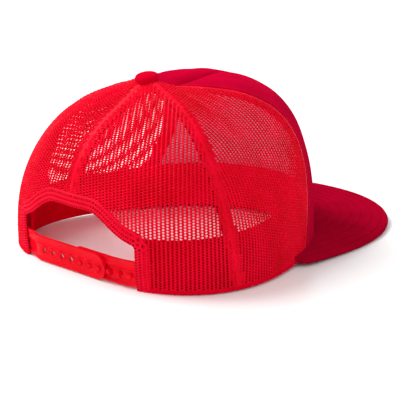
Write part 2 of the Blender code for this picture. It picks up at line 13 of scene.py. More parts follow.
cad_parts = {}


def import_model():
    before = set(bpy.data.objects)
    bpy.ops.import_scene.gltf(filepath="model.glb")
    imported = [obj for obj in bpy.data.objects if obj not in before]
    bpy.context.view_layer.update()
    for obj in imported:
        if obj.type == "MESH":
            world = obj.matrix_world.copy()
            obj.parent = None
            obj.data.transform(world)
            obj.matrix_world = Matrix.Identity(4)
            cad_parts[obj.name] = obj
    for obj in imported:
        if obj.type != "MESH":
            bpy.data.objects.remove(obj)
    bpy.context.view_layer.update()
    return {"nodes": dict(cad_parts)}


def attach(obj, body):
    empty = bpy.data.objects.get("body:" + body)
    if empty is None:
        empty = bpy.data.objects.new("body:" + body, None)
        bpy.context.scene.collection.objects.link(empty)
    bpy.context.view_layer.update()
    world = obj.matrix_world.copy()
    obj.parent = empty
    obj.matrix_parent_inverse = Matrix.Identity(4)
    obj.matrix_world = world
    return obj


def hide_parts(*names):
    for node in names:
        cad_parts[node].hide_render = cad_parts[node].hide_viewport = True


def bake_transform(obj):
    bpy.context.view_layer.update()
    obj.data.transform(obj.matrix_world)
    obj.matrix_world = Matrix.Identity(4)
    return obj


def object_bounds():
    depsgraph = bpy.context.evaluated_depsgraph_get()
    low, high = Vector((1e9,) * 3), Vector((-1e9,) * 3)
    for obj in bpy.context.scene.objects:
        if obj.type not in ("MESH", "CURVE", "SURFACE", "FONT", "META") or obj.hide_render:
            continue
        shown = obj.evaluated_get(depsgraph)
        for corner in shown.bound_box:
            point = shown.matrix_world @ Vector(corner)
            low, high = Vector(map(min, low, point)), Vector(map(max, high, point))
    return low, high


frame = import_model()

MM = 0.001

# Placing of the cap frame.
REST_TILT = math.radians(-1.13)
CAP_FRAME_Y = 45.4
CAP_FRAME_Z = 1.4

# Camera, about the cap frame's origin, and the photograph's framing.
CAMERA_TURN = math.radians(223.2)
CAMERA_RISE = math.radians(16.4)
CAMERA_DISTANCE = 898.7
CAMERA_PAN = (21.68, 28.04)
CAMERA_LENS = 128.63
CAMERA_SENSOR = 36.0

# Crown surface, as in the CAD: the rim's cosine series and the meridian's four handles.
RIM_MEAN_RADIUS = 90.8
RIM_HARMONICS = (8.3, -0.7, 6.9, -1.3)
CROWN_HEIGHT = 107.9
APEX_Y = 14.7
FRONT_QUARTER = (8.1, 0.71, 0.91, 6.0)
SIDE_QUARTER = (-10.8, 0.63, 0.55, 0.8)
BACK_QUARTER = (24.5, 0.77, 0.38, -9.0)
# The crown is creased ahead of the button, folds sharply along the crease, and sinks round the button.
# Each reach says where that starts, is full, starts to fade and has faded.
CREASE_DEPTH = 6.0
CREASE_HALF_WIDTH = 13.0
CREASE_REACH = (0.0, 17.5, 0.0, 70.0)
FOLD_DEPTH = 3.8
FOLD_HALF_WIDTH = 5.0
PLEAT_DEPTH = 3.6
PLEAT_HALF_WIDTH = 1.7
FOLD_REACH = (8.0, 18.0, 35.0, 82.0)
SAG = 2.3
SAG_REACH = (6.0, 20.0, 28.0, 64.0)
# Seams: the angle at their ends, how far they bow, and how much more of the bow is low down.
FRONT_SEAM = (math.radians(61.1), math.radians(-20.0), math.radians(-2.5))
SIDE_SEAM = (math.radians(108.6), math.radians(2.6), 0.0)
BACK_SEAM = (math.pi, 0.0, 0.0)
NORMAL_STEP = 0.004
HIGHEST_HEM_RISE = 0.6
BISECT_STEPS = 26
HEM_PASSES = 4
LEAST_REACH = 1.0

# The soft fabric is a little uneven: height, waves around, waves up, phase.
UNEVEN = ((0.35, 9.0, 2.0, 0.4), (0.22, 17.0, 3.0, 1.9), (0.12, 31.0, 5.0, 4.1))

# Knitted mesh: a honeycomb of holes between upright wales, knitted wider than any panel.
WALE_REACH = 30
KNIT_LEVELS = 210
WALE_PITCH = 2.5
HALF_ROW = 0.825
WALE_ZIGZAG = 0.22
HOLE_HALF_SIZE = (0.7, 0.58)
WALE_DEPTHS = (-0.3, -0.08)
YARN_UNEVENNESS = 0.07
CROSSING_DEPTH = 0.16
SHOULDER_DEPTH = 0.08
SHOULDER_SHARE = 0.5
HOLE_DEPTH = 0.5
MESH_THICKNESS = 0.9
SEAM_VALLEY = 0.5
SEAM_VALLEY_WIDTH = 1.2
SEAM_CLEARANCE = 0.15
SOLID_MARGIN = 0.2
SEAM_BAND = 4.3
TOP_BAND = 15.0
HEM_BAND = 2.6
MESH_TOP_RADIUS = 5.0
MESH_TOP_RISE = 0.995
GORE_STEPS = 400
GORE_PASSES = 4
BILL_TUCK = 1.6

# Foam front panel and its lining.
FOAM_THICKNESS = 3.0
FOAM_EDGE_SHARE = 0.9
FOAM_FULL_SHARE = 0.78
FOAM_TOP_RADIUS = 3.0
FOAM_FADE_RADII = (30.0, 52.0)
FOAM_ROWS = 90
FOAM_COLUMNS = 281
FOAM_VALLEY = (0.9, 2.4)

# Seam tapes and stitches.
TAPE_DEPTHS = (1.6, 2.35)
TAPE_HALF_WIDTH = 4.5
TAPE_TOP_SPREAD = 0.36
TAPE_TOP_RADIUS = 4.6
TAPE_ROUNDING = 0.3
TAPE_RIB = 0.05
TAPE_ROWS = 150
TAPE_COLUMNS = 13
SEAM_STITCH_OFFSETS = (-3.0, 3.0)
SEAM_STITCH_DEPTHS = (-0.12, 2.3)
SEAM_STITCH_STEPS = 300
SEAM_STITCH_RADIUS = 8.75
SEAM_STITCH_GAP = 1.0
WELT_HALF_WIDTH = 1.2
WELT_HEIGHT = 0.25
WELT_FOOT = 0.25
WELT_RIB = 0.35
WELT_COLUMNS = 7
WELT_ROWS = 420
BACK_SEAM_LOW = 50.4
BACK_STITCH_LOW = 52.0
STITCH_PITCH = 2.9
STITCH_SHARE = 0.78
STITCH_RADIUS = 0.2
STITCH_LIFT = 0.1
CROWN_MIDDLE = 1.0
# Stations along a stitch: place, thickness and lift, as shares of its length and radius.
STITCH_STATIONS = ((-0.5, 0.4, -0.7), (-0.28, 1.0, 0.25), (0.28, 1.0, 0.25), (0.5, 0.4, -0.7))
STITCH_SIDES = 5

# Sweatband.
SWEATBAND_DEPTH = 3.2
SWEATBAND_FRONT_EXTRA = 1.4
SWEATBAND_LEAN = 2.5
SWEATBAND_THICKNESS = 1.3
SWEATBAND_GAP = 0.15
SWEATBAND_SWELL = 0.5
# Depth, height and width of the groove below the rolled edge; size, waves and slant of the ripples.
SWEATBAND_GROOVE = (0.45, 25.5, 0.7)
SWEATBAND_RIPPLE = (0.12, 38.0, 3.0)
SWEATBAND_STITCH_ROWS = (1, 26)
SWEATBAND_HEIGHT = 30.0
SWEATBAND_END = math.radians(145.5)
SWEATBAND_FRONT_ANGLES = (math.radians(84.0), math.radians(72.0))
SWEATBAND_ROWS = 31
SWEATBAND_COLUMNS = 301

# Rolled edge of the rim.
RIM_EDGE_HEIGHT = 2.2
RIM_EDGE_MIDDLE = 0.45
RIM_EDGE_HALF_THICKNESS = 0.8
RIM_EDGE_LEAST = 0.02
RIM_EDGE_ROWS = 11
RIM_EDGE_COLUMNS = 400

# Rear opening and its binding.
ARCH_HALF_WIDTH = 47.5
ARCH_SHOULDER = 27.5
ARCH_APEX = 42.3
ARCH_SHOULDER_SPAN = 0.7
ARCH_STEPS = 160
ARCH_CORNER = 3.0
ARCH_CORNER_STEPS = 8
BINDING_WIDTH = 8.0
BINDING_HALF_THICKNESS = 0.95
BINDING_ROUND = 1.1
# Share by which the outer edge is thinner, and over what width.
BINDING_TAPER = (0.45, 0.8)
BINDING_BUNCHING = 0.02
BINDING_SMOOTHING = 6
BINDING_ROWS = 27
BINDING_COLUMNS = 601
PIT_DEPTH = 0.88
PIT_HALF_SIZE = (0.78, 0.58)
WALE_HEIGHT = 0.12
BINDING_MESH_INSET = 3.5
BINDING_WALE_SHIFT = 0.25
BINDING_STITCH_ROWS = (1.9, 6.3)
BINDING_STITCH_GROOVE = (0.15, 0.5)
BINDING_STITCH_DEPTHS = (-0.25, 1.4)
BINDING_MIDDLE = 0.45

# Bill.
BILL_HALF_WIDTH = 90.0
BILL_TIP_Y = -170.6
BILL_WIDEST_Y = -50.2
BILL_BACK_Y = -24.0
BILL_FRONT_POWER = 2.55
BILL_BACK_POWER = 7.0
BILL_TOP = 10.2
BILL_TOP_Y = -33.4
BILL_FALL = 0.053
BILL_ARCH = 7.3
BILL_THICKNESS = 3.4
BILL_COVER = 0.6
BILL_ROOT_ANGLE = math.radians(72.0)
BILL_ROOT_DEPTH = 2.8
BILL_CORNER_TURN = math.radians(41.0)
BILL_ROWS = 100
BILL_COLUMNS = 201
BILL_EDGE_STEPS = 5
BILL_CURVE_STEPS = 300
BILL_ROOT_STEPS = 200
BILL_STITCH_INSETS = (4.5, 10.5, 17.0, 23.5, 30.0, 36.5, 43.0, 49.5)
BILL_GROOVE = (0.25, 0.8)
BILL_STITCH_BACK = -25.0
BILL_STITCH_BACK_STEPS = 30
BILL_STITCH_STEPS = 400
# How far the rows stop before the rim, on the upper face and on the lower one.
BILL_STITCH_STOPS = (0.8, -1.0)

# Button.
BUTTON_RADIUS = 7.25
BUTTON_HEIGHT = 4.2
# The skirt's points: how far inside the button's radius, and their height.
BUTTON_SKIRT = ((1.4, -2.6), (0.8, -2.2), (0.5, 0.4))
BUTTON_DOME_FOOT = 1.2
BUTTON_DOME_POWERS = (0.8, 0.85)
# Puckers: size, number, height and spread. Wobble: size, waves and phase.
BUTTON_PUCKERS = (0.018, 17.0, 0.9, 1.1)
BUTTON_WOBBLE = (0.006, 3.0, 0.7)
BUTTON_TILT = math.radians(9.0)
BUTTON_SIDES = 72
BUTTON_RINGS = 16

# Snap straps.
BACK_HALF_START = math.radians(100.0)
STRAP_LEAN = math.radians(7.4)
STRAP_THICKNESS = 1.4
STRAP_BOTTOM = 1.2
STRAP_TOP = 17.2
STRAP_END_RADIUS = 7.6
STRAP_ROOT_X = 45.7
STRAP_FLAT_X = 30.0
STRAP_ROOT_DEPTH = 2.2
STRAP_PITCH = 8.0
STRAP_HOLE_Z = 7.9
STRAP_TAB_X = 58.0
STRAP_JOIN_X = (45.2, 48.2)
STRAP_BLEND_X = (48.2, 44.0)
STRAP_BLEND_Z = 8.0
# The moulded front: rim height and width, ridge height, place and width, channel depth, gap and top,
# and the height, radius and width of the rings at the holes.
STRAP_RIM = (0.3, 1.0)
STRAP_RIDGE = (0.55, 12.3, 0.5)
STRAP_CHANNEL = (0.6, 1.5, 12.0)
STRAP_RING = (0.75, 2.7, 0.45)
STRAP_FADE = 0.5
STRAP_FACE_SINK = 0.1
STRAP_GRID = 0.5
STRAP_ROWS = 33
SOCKET_END_X = -25.0
SOCKET_DEPTH = 0.3
SOCKET_BEND_X = (32.0, 44.0)
SOCKET_FIRST_X = 29.0
SOCKET_COUNT = 7
SOCKET_RADIUS = 1.55
SOCKET_COLLAR = 0.42
SOCKET_COLLAR_RADIUS = 2.8
STUD_END_X = 4.5
STUD_FIRST_X = -43.0
STUD_COUNT = 6
STUD_SIDES = 24
# Radius and height of the points down a stud's side.
STUD_PROFILE = ((0.0, -0.5), (1.3, -0.5), (1.3, 1.2), (1.55, 1.4), (1.6, 1.7), (1.4, 2.1), (0.8, 2.35),
                (0.0, 2.4))

SIDES = ((1.0, "left"), (-1.0, "right"))
SHARP_ANGLE = math.radians(50.0)

# Dyed cloth reflects little white light, and its fuzz is as red as its yarn.
CLOTH_GLOSS = 0.0
YARN_GLOSS = 0.04
SHEEN_TINT = (1.0, 0.02, 0.1)
# Uneven dye: the scales of its broad and fine patches, the share of the broad ones, and the part of
# the noise's range that runs from the dark colour to the light one.
CLOTH_PATCHES = (55.0, 900.0)
CLOTH_BROAD_SHARE = 0.6
CLOTH_WEAR = 0.1
CLOTH_RELIEF = 0.8
YARN_PATCHES = (60.0, 1400.0)
YARN_BROAD_SHARE = 0.5
YARN_RELIEF = (0.6, 0.15)
PATCH_LIMITS = (0.35, 0.65)
SPECKLE_LIMITS = (0.3, 0.7)
# Painted shade in the binding's closed holes, standing in for the dark inside them: the part of the hole
# pattern's range that darkens, and the shade's colour.
HOLE_SHADE_LIMITS = (0.15, 0.7)
HOLE_SHADE_COLOUR = (0.22, 0.0, 0.006)

# Cloths and yarns.
FOAM_FACE = {"dark": (0.44, 0.0, 0.018), "light": (0.53, 0.0, 0.028), "roughness": 0.8, "sheen": 0.25,
             "pitch": 0.7}
SEAM_TAPE = {"dark": (0.62, 0.0, 0.01), "light": (0.76, 0.0, 0.022), "roughness": 0.75, "sheen": 0.2,
             "pitch": 0.6}
SWEATBAND_TWILL = {"dark": (0.62, 0.0, 0.008), "light": (0.8, 0.0, 0.014), "roughness": 0.85,
                   "sheen": 0.3, "pitch": 0.8, "twill": 0.6}
BILL_TWILL = {"dark": (0.28, 0.0, 0.011), "light": (0.36, 0.0, 0.016), "roughness": 0.75, "sheen": 0.2,
              "pitch": 0.55, "twill": 0.5}
BUTTON_CLOTH = {"dark": (0.46, 0.0, 0.01), "light": (0.66, 0.0, 0.02), "roughness": 0.7, "sheen": 0.25,
                "pitch": 0.9, "depth": 0.2}
MESH_YARN = {"dark": (0.62, 0.0, 0.008), "light": (0.86, 0.0, 0.025), "roughness": 0.35}
# The binding's yarn, with painted shade in its closed holes.
BINDING_KNIT = {"dark": (0.66, 0.0, 0.012), "light": (0.88, 0.002, 0.03), "roughness": 0.55,
                "knitted": True}
SEWING_THREAD = {"dark": (0.62, 0.0, 0.012), "light": (0.8, 0.004, 0.03), "roughness": 0.45}
BILL_THREAD = {"dark": (0.3, 0.0, 0.012), "light": (0.4, 0.0, 0.018), "roughness": 0.7, "sheen": 0.0,
               "gloss": 0.0}

# Surfaces without a weave.
FOAM_LINING = {"colour": (0.65, 0.38, 0.49), "roughness": 0.95, "speckles": (1600.0, 4.0),
               "limits": PATCH_LIMITS, "dark": (0.56, 0.3, 0.4), "light": (0.74, 0.46, 0.58),
               "marks": (1600.0, 4.0), "relief": (0.8, 0.3)}
STRAP_PLASTIC = {"colour": (0.78, 0.003, 0.012), "roughness": 0.36, "coat": 0.15,
                 "speckles": (35.0, 2.0), "limits": PATCH_LIMITS, "dark": (0.7, 0.0, 0.01),
                 "light": (0.84, 0.004, 0.018), "marks": (500.0, 4.0), "worn": (0.28, 0.5),
                 "relief": (0.15, 0.05)}
RIVET_METAL = {"colour": (0.62, 0.61, 0.6), "roughness": 0.32, "metallic": 1.0,
               "speckles": (700.0, 3.0), "limits": SPECKLE_LIMITS, "dark": (0.45, 0.44, 0.43),
               "light": (0.7, 0.69, 0.68), "marks": (700.0, 3.0), "worn": (0.25, 0.45)}
BOARD_PLASTIC = {"colour": (0.75, 0.73, 0.7), "roughness": 0.6, "speckles": (120.0, 3.0),
                 "limits": SPECKLE_LIMITS, "dark": (0.68, 0.66, 0.62), "light": (0.78, 0.76, 0.73)}
# The floor is smooth enough to pick up some of the cap's red beside it.
FLOOR_PAINT = {"colour": (0.93, 0.93, 0.93), "roughness": 0.3, "gloss": 0.5, "speckles": (3.0, 3.0),
               "limits": SPECKLE_LIMITS, "dark": (0.925, 0.925, 0.925), "light": (0.935, 0.935, 0.935)}

# Studio. Lights: name, place, aim, size, power and colour.
FLOOR_HALF_SIZE = 4.0
SURROUND_STRENGTH = 0.75
LIGHTS = (
    ("key", (1.3, 0.5, 1.7), (0.0, 0.0, 0.05), 1.0, 46.0, (1.0, 1.0, 1.0)),
    ("fill", (-1.1, 1.3, 1.0), (0.0, 0.0, 0.05), 1.2, 8.0, (1.0, 1.0, 1.0)),
    ("through_the_mesh", (0.0, 0.05, 0.08), (0.0, -0.04, 0.0), 0.05, 0.038, (1.0, 0.7, 0.74)),
)


# ---------------------------------------------------------------- shape of the crown

def ease(value, start, end):
    """A smooth rise from 0 at start to 1 at end, level beyond them."""
    part = np.clip((value - start) / (end - start), 0.0, 1.0)
    return part * part * (3.0 - 2.0 * part)


def plateau(value, start, full, level, end):
    """A smooth rise from start to full, and a smooth fall from level to end."""
    return ease(value, start, full) * (1.0 - ease(value, level, end))


def hump(value, width):
    """1 at 0, falling off smoothly over a width on either side."""
    return np.exp(-(value / width) ** 2)


def path_length(line):
    """Distances of a line's points along it."""
    steps = np.linalg.norm(np.diff(line, axis=0), axis=1)
    return np.concatenate(((0.0,), np.cumsum(steps)))


def along_path(line, along, distance):
    """Points of a line at distances along it."""
    return np.stack([np.interp(distance, along, line[:, k]) for k in range(line.shape[1])], -1)


def resample(line, count):
    """A line of points in even steps."""
    along = path_length(line)
    return along_path(line, along, np.linspace(0.0, along[-1], count))


def world(points):
    """Millimetres in the cap frame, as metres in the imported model's frame."""
    points = np.asarray(points, float)
    sine, cosine = math.sin(REST_TILT), math.cos(REST_TILT)
    x, y, z = points[..., 0], points[..., 1], points[..., 2]
    return MM * np.stack((x, cosine * y - sine * z + CAP_FRAME_Y,
                          sine * y + cosine * z + CAP_FRAME_Z), -1)


def rim_radius(angle):
    """Distance of the rim from the cap frame's origin, at an angle from the front."""
    radius = RIM_MEAN_RADIUS
    for order, size in enumerate(RIM_HARMONICS, start=1):
        radius = radius + size * np.cos(order * angle)
    return radius


def rim_point(angle):
    """The rim's outer line, seen from above."""
    radius = rim_radius(angle)
    return radius * np.sin(angle), -radius * np.cos(angle)


def bare_point(angle, rise):
    """Points of the outer surface, from rise 0 on the rim to 1 at the apex."""
    angle, rise = np.broadcast_arrays(np.asarray(angle, float), np.asarray(rise, float))
    front = np.maximum(np.cos(angle), 0.0) ** 2
    back = np.maximum(-np.cos(angle), 0.0) ** 2
    side = 1.0 - front - back
    bulge, lower, reach, lift = [front * f + side * s + back * b for f, s, b
                                 in zip(FRONT_QUARTER, SIDE_QUARTER, BACK_QUARTER)]
    x, y = rim_point(angle)
    length = np.hypot(x, y - APEX_Y)
    fall = 1.0 - rise
    radial = (length * fall ** 3 + (length + bulge) * 3.0 * rise * fall ** 2
              + reach * length * 3.0 * rise ** 2 * fall)
    height = (lower * CROWN_HEIGHT * 3.0 * rise * fall ** 2
              + (CROWN_HEIGHT + lift) * 3.0 * rise ** 2 * fall + CROWN_HEIGHT * rise ** 3)
    px = x / length * radial
    py = APEX_Y + (y - APEX_Y) / length * radial
    ahead = APEX_Y - py
    crease = CREASE_DEPTH * plateau(ahead, *CREASE_REACH) * hump(px, CREASE_HALF_WIDTH)
    fold = FOLD_DEPTH * hump(px, FOLD_HALF_WIDTH) + PLEAT_DEPTH * hump(px, PLEAT_HALF_WIDTH)
    fold = fold * plateau(ahead, *FOLD_REACH)
    sag = SAG * plateau(radial, *SAG_REACH)
    return np.stack((px, py, height - crease - fold - sag), -1)


def crown_normal(angle, rise):
    """Outward normals of the crown's surface."""
    low = np.maximum(rise - NORMAL_STEP, 0.0)
    high = np.minimum(rise + NORMAL_STEP, 1.0)
    up = bare_point(angle, high) - bare_point(angle, low)
    around = bare_point(angle + NORMAL_STEP, rise) - bare_point(angle - NORMAL_STEP, rise)
    normal = np.cross(around, up)
    return normal / np.linalg.norm(normal, axis=-1, keepdims=True)


def crown_point(angle, rise, depth=0.0):
    """Points at a depth inside the outer surface, which is slightly uneven between its edges."""
    angle, rise, depth = np.broadcast_arrays(*[np.asarray(v, float) for v in (angle, rise, depth)])
    wave = sum(size * np.sin(around * angle + phase) * np.cos(math.pi * up * rise + phase)
               for size, around, up, phase in UNEVEN)
    lift = wave * np.sin(math.pi * np.clip(rise, 0.0, 1.0)) - depth
    return bare_point(angle, rise) + crown_normal(angle, rise) * lift[..., None]


def bisect(passed, low, high):
    """Where passed() turns from negative to positive, for arrays of places at once."""
    low, high = np.array(low, float), np.array(high, float)
    for _ in range(BISECT_STEPS):
        middle = 0.5 * (low + high)
        beyond = passed(middle) > 0.0
        high = np.where(beyond, middle, high)
        low = np.where(beyond, low, middle)
    return 0.5 * (low + high)


def rise_at_height(angle, height):
    """How far up a meridian the surface reaches a height."""
    angle, height = np.broadcast_arrays(np.asarray(angle, float), np.asarray(height, float))
    return bisect(lambda rise: bare_point(angle, rise)[..., 2] - height,
                  np.zeros(angle.shape), np.full(angle.shape, HIGHEST_HEM_RISE))


def axis_distance(angle, rise):
    """Distance of surface points from the vertical line through the apex."""
    points = bare_point(angle, rise)
    return np.hypot(points[..., 0], points[..., 1] - APEX_Y)


def safe_reach(angle, rise):
    """The distance from the crown's axis, kept well off 0 for dividing by."""
    return np.maximum(axis_distance(angle, rise), LEAST_REACH)


def rise_at_radius(angle, radius):
    """How far up a meridian the surface comes within a distance of the crown's axis."""
    angle = np.asarray(angle, float)
    return bisect(lambda rise: radius - axis_distance(angle, rise),
                  np.full(angle.shape, 0.5), np.ones(angle.shape))


def surface_over(x, z):
    """Angle and rise of the crown's back over an x and z."""
    x, z = np.broadcast_arrays(np.asarray(x, float), np.asarray(z, float))
    angle = bisect(lambda a: np.abs(x) - bare_point(a, rise_at_height(a, z))[..., 0],
                   np.full(x.shape, 0.5 * math.pi), np.full(x.shape, math.pi))
    angle = np.where(x >= 0.0, angle, -angle)
    return angle, rise_at_height(angle, z)


def seam_angle(seam, rise):
    """Angle of a seam at a rise."""
    ends, bow, low = seam
    return ends + bow * np.sin(math.pi * rise) + low * np.sin(2.0 * math.pi * rise)


def bill_top(x, y):
    """Height of the bill's upper face."""
    return BILL_TOP - BILL_FALL * (BILL_TOP_Y - y) - BILL_ARCH * (x / BILL_HALF_WIDTH) ** 2


def panel_hem(angle):
    """Height of the panels' lower edge: tucked in at the bill, and on the rim plane elsewhere."""
    x, y = rim_point(angle)
    return np.where(np.abs(angle) < BILL_ROOT_ANGLE, bill_top(x, y) - BILL_TUCK, 0.0)


# ---------------------------------------------------------------- mesh building

def add_piece(name, points, faces, materials, face_material=None, uv=None, body="cap"):
    """A smooth mesh piece from points in the cap frame, riding on a body unless body is None."""
    mesh = bpy.data.meshes.new(name)
    mesh.from_pydata(world(points).tolist(), [], [list(face) for face in faces])
    for material in materials:
        mesh.materials.append(material)
    mesh.polygons.foreach_set("use_smooth", [True] * len(mesh.polygons))
    if face_material is not None:
        mesh.polygons.foreach_set("material_index", np.asarray(face_material, np.int32))
    if uv is not None:
        corners = np.empty(len(mesh.loops), np.int32)
        mesh.loops.foreach_get("vertex_index", corners)
        layer = mesh.uv_layers.new(name="cloth")
        layer.data.foreach_set("uv", np.asarray(uv, np.float32)[corners].ravel())
    mesh.set_sharp_from_angle(angle=SHARP_ANGLE)
    mesh.update()
    piece = bpy.data.objects.new(name, mesh)
    bpy.context.scene.collection.objects.link(piece)
    if body:
        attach(piece, body)
    return piece


def grid_quads(rows, columns):
    """Quads of a grid of points, facing the viewer when rows go up and columns to the right."""
    first = np.arange(rows * columns).reshape(rows, columns)
    return np.stack((first[:-1, :-1], first[:-1, 1:], first[1:, 1:], first[1:, :-1]), -1).reshape(-1, 4)


def edge_walls(polygons, count):
    """Quads from a patch's free edges to the same edges of its copy, count points further on."""
    start = polygons.ravel()
    end = np.roll(polygons, -1, axis=1).ravel()
    free = ~np.isin(start * count + end, end * count + start)
    start, end = start[free], end[free]
    return np.stack((end, start, start + count, end + count), -1)


def ring_quads(first, second):
    """Quads between the rings of one set and those of another."""
    return np.stack((first, np.roll(first, -1, 1), np.roll(second, -1, 1), second), -1).reshape(-1, 4)


def thicken(quads, count):
    """Close a one-sided patch: its own quads, their copies on the inner points, and edge walls."""
    return np.concatenate((quads, quads[:, ::-1] + count, edge_walls(quads, count)))


def add_shell(name, outer, inner, materials, uv=None, inner_material=0, body="cap"):
    """A closed piece between two grids of points."""
    rows, columns = outer.shape[:2]
    count = rows * columns
    quads = grid_quads(rows, columns)
    faces = thicken(quads, count)
    chosen = np.zeros(len(faces), np.int32)
    chosen[len(quads):2 * len(quads)] = inner_material
    points = np.concatenate((outer.reshape(-1, 3), inner.reshape(-1, 3)))
    if uv is None:
        uv = grid_lengths(outer)
    uv = np.concatenate((uv.reshape(-1, 2), uv.reshape(-1, 2)))
    return add_piece(name, points, faces, materials, chosen, uv, body)


def grid_lengths(points):
    """Distances along a grid's columns and rows, in millimetres, for the weave to follow."""
    along = np.linalg.norm(np.diff(points, axis=1), axis=-1).cumsum(axis=1)
    up = np.linalg.norm(np.diff(points, axis=0), axis=-1).cumsum(axis=0)
    along = np.concatenate((np.zeros((points.shape[0], 1)), along), axis=1)
    up = np.concatenate((np.zeros((1, points.shape[1])), up), axis=0)
    middle = along[:, along.shape[1] // 2][:, None]
    return np.stack((along - middle, up), -1)


def lathe(profile, sides):
    """A closed solid of revolution about z, from its lower centre point to its upper one."""
    turns = np.linspace(0.0, 2.0 * math.pi, sides, endpoint=False)
    rings = [(radius, height) for radius, height in profile[1:-1]]
    points = [(0.0, 0.0, profile[0][1])]
    for radius, height in rings:
        points += [(radius * math.cos(t), radius * math.sin(t), height) for t in turns]
    points.append((0.0, 0.0, profile[-1][1]))
    faces = []
    for index in range(sides):
        after = (index + 1) % sides
        faces.append((0, 1 + after, 1 + index))
        for ring in range(len(rings) - 1):
            low = 1 + ring * sides
            faces.append((low + index, low + after, low + sides + after, low + sides + index))
        last = 1 + (len(rings) - 1) * sides
        faces.append((last + index, last + after, len(points) - 1))
    return np.array(points), faces


def turned(points, angle, place):
    """Points turned about X and moved."""
    sine, cosine = math.sin(angle), math.cos(angle)
    x, y, z = points[..., 0], points[..., 1], points[..., 2]
    moved = np.stack((x, cosine * y - sine * z, sine * y + cosine * z), -1)
    return moved + np.asarray(place, float)


# ---------------------------------------------------------------- stitches

def stitch_row(points, normals):
    """Points of the stitches along a line on a surface, as (stitches, stations, sides, 3)."""
    along = path_length(points)
    count = max(int(along[-1] // STITCH_PITCH), 1)
    spacing = along[-1] / count
    centres = (np.arange(count) + 0.5) * spacing
    normal = along_path(normals, along, centres)
    normal /= np.linalg.norm(normal, axis=-1, keepdims=True)
    reach = 0.5 * STITCH_SHARE * spacing
    heading = along_path(points, along, centres + reach) - along_path(points, along, centres - reach)
    heading /= np.linalg.norm(heading, axis=-1, keepdims=True)
    aside = np.cross(heading, normal)
    turns = 2.0 * math.pi * np.arange(STITCH_SIDES) / STITCH_SIDES
    ring = (np.cos(turns)[None, :, None] * aside[:, None, :]
            + np.sin(turns)[None, :, None] * normal[:, None, :])
    stations = []
    for place, thickness, lift in STITCH_STATIONS:
        middle = along_path(points, along, centres + place * STITCH_SHARE * spacing)
        middle = middle + normal * lift * STITCH_RADIUS
        stations.append(middle[:, None, :] + thickness * STITCH_RADIUS * ring)
    return np.stack(stations, 1)


def add_stitches(name, rows, material, body="cap"):
    """One piece of all the stitches of some rows."""
    stitches = np.concatenate(rows)
    stations, sides = stitches.shape[1:3]
    ring = np.arange(sides)
    after = (ring + 1) % sides
    quads = [np.stack((low + ring, low + after, low + sides + after, low + sides + ring), -1)
             for low in sides * np.arange(stations - 1)]
    size = stations * sides
    starts = size * np.arange(len(stitches))
    faces = (starts[:, None, None] + np.concatenate(quads)[None]).reshape(-1, 4).tolist()
    faces += (starts[:, None] + ring[::-1]).tolist()
    faces += (starts[:, None] + (stations - 1) * sides + ring).tolist()
    return add_piece(name, stitches.reshape(-1, 3), faces, [material], body=body)


def crown_stitches(angle, rise, depth):
    """A row of stitches on the crown's outside or, at a depth beyond its middle, on its inside."""
    outward = 1.0 if depth < CROWN_MIDDLE else -1.0
    return stitch_row(crown_point(angle, rise, depth), outward * crown_normal(angle, rise))


# ---------------------------------------------------------------- knitted mesh panels

def gore_place(near, far, across, up):
    """Angle and rise of places on a panel, given in millimetres across and up its middle line."""
    line = np.linspace(0.0, 1.0, GORE_STEPS)
    middle = 0.5 * (seam_angle(near, line) + seam_angle(far, line))
    rise = np.interp(up, path_length(bare_point(middle, line)), line)
    centre = np.interp(rise, line, middle)
    angle = centre
    for _ in range(GORE_PASSES):
        between = 0.5 * (centre + angle)
        step = bare_point(between + NORMAL_STEP, rise) - bare_point(between - NORMAL_STEP, rise)
        metric = np.linalg.norm(step, axis=-1) / (2.0 * NORMAL_STEP)
        angle = centre + across / np.maximum(metric, LEAST_REACH)
    return angle, rise


def between_seams(near, far, places):
    """Angle and rise of flat places, kept between two seams, and how far each was moved."""
    angle, rise = gore_place(near, far, places[..., 0], places[..., 1])
    reach = safe_reach(angle, rise)
    kept = np.clip(angle, seam_angle(near, rise) + SEAM_CLEARANCE / reach,
                   seam_angle(far, rise) - SEAM_CLEARANCE / reach)
    return kept, rise, (angle - kept) * reach


def seam_gap(near, far, angle, rise):
    """Distance to the nearer of two seams."""
    gap = np.minimum(angle - seam_angle(near, rise), seam_angle(far, rise) - angle)
    return safe_reach(angle, rise) * gap


def outside_arch(points):
    """How far points of the back lie outside the rear opening, negative inside it."""
    edge = np.array(arch_edge())
    x, z = points[..., 0].ravel(), points[..., 2].ravel()
    distance = np.full(x.shape, np.inf)
    for start, end in zip(edge, edge[1:]):
        run = end - start
        part = np.clip(((x - start[0]) * run[0] + (z - start[1]) * run[1]) / (run @ run), 0.0, 1.0)
        distance = np.minimum(distance, np.hypot(x - start[0] - part * run[0],
                                                 z - start[1] - part * run[1]))
    inside = (np.abs(x) < ARCH_HALF_WIDTH) & (z < arch_height(x))
    distance = np.where(inside, -distance, distance)
    return np.where(points[..., 1].ravel() > 0.0, distance, np.inf).reshape(points.shape[:-1])


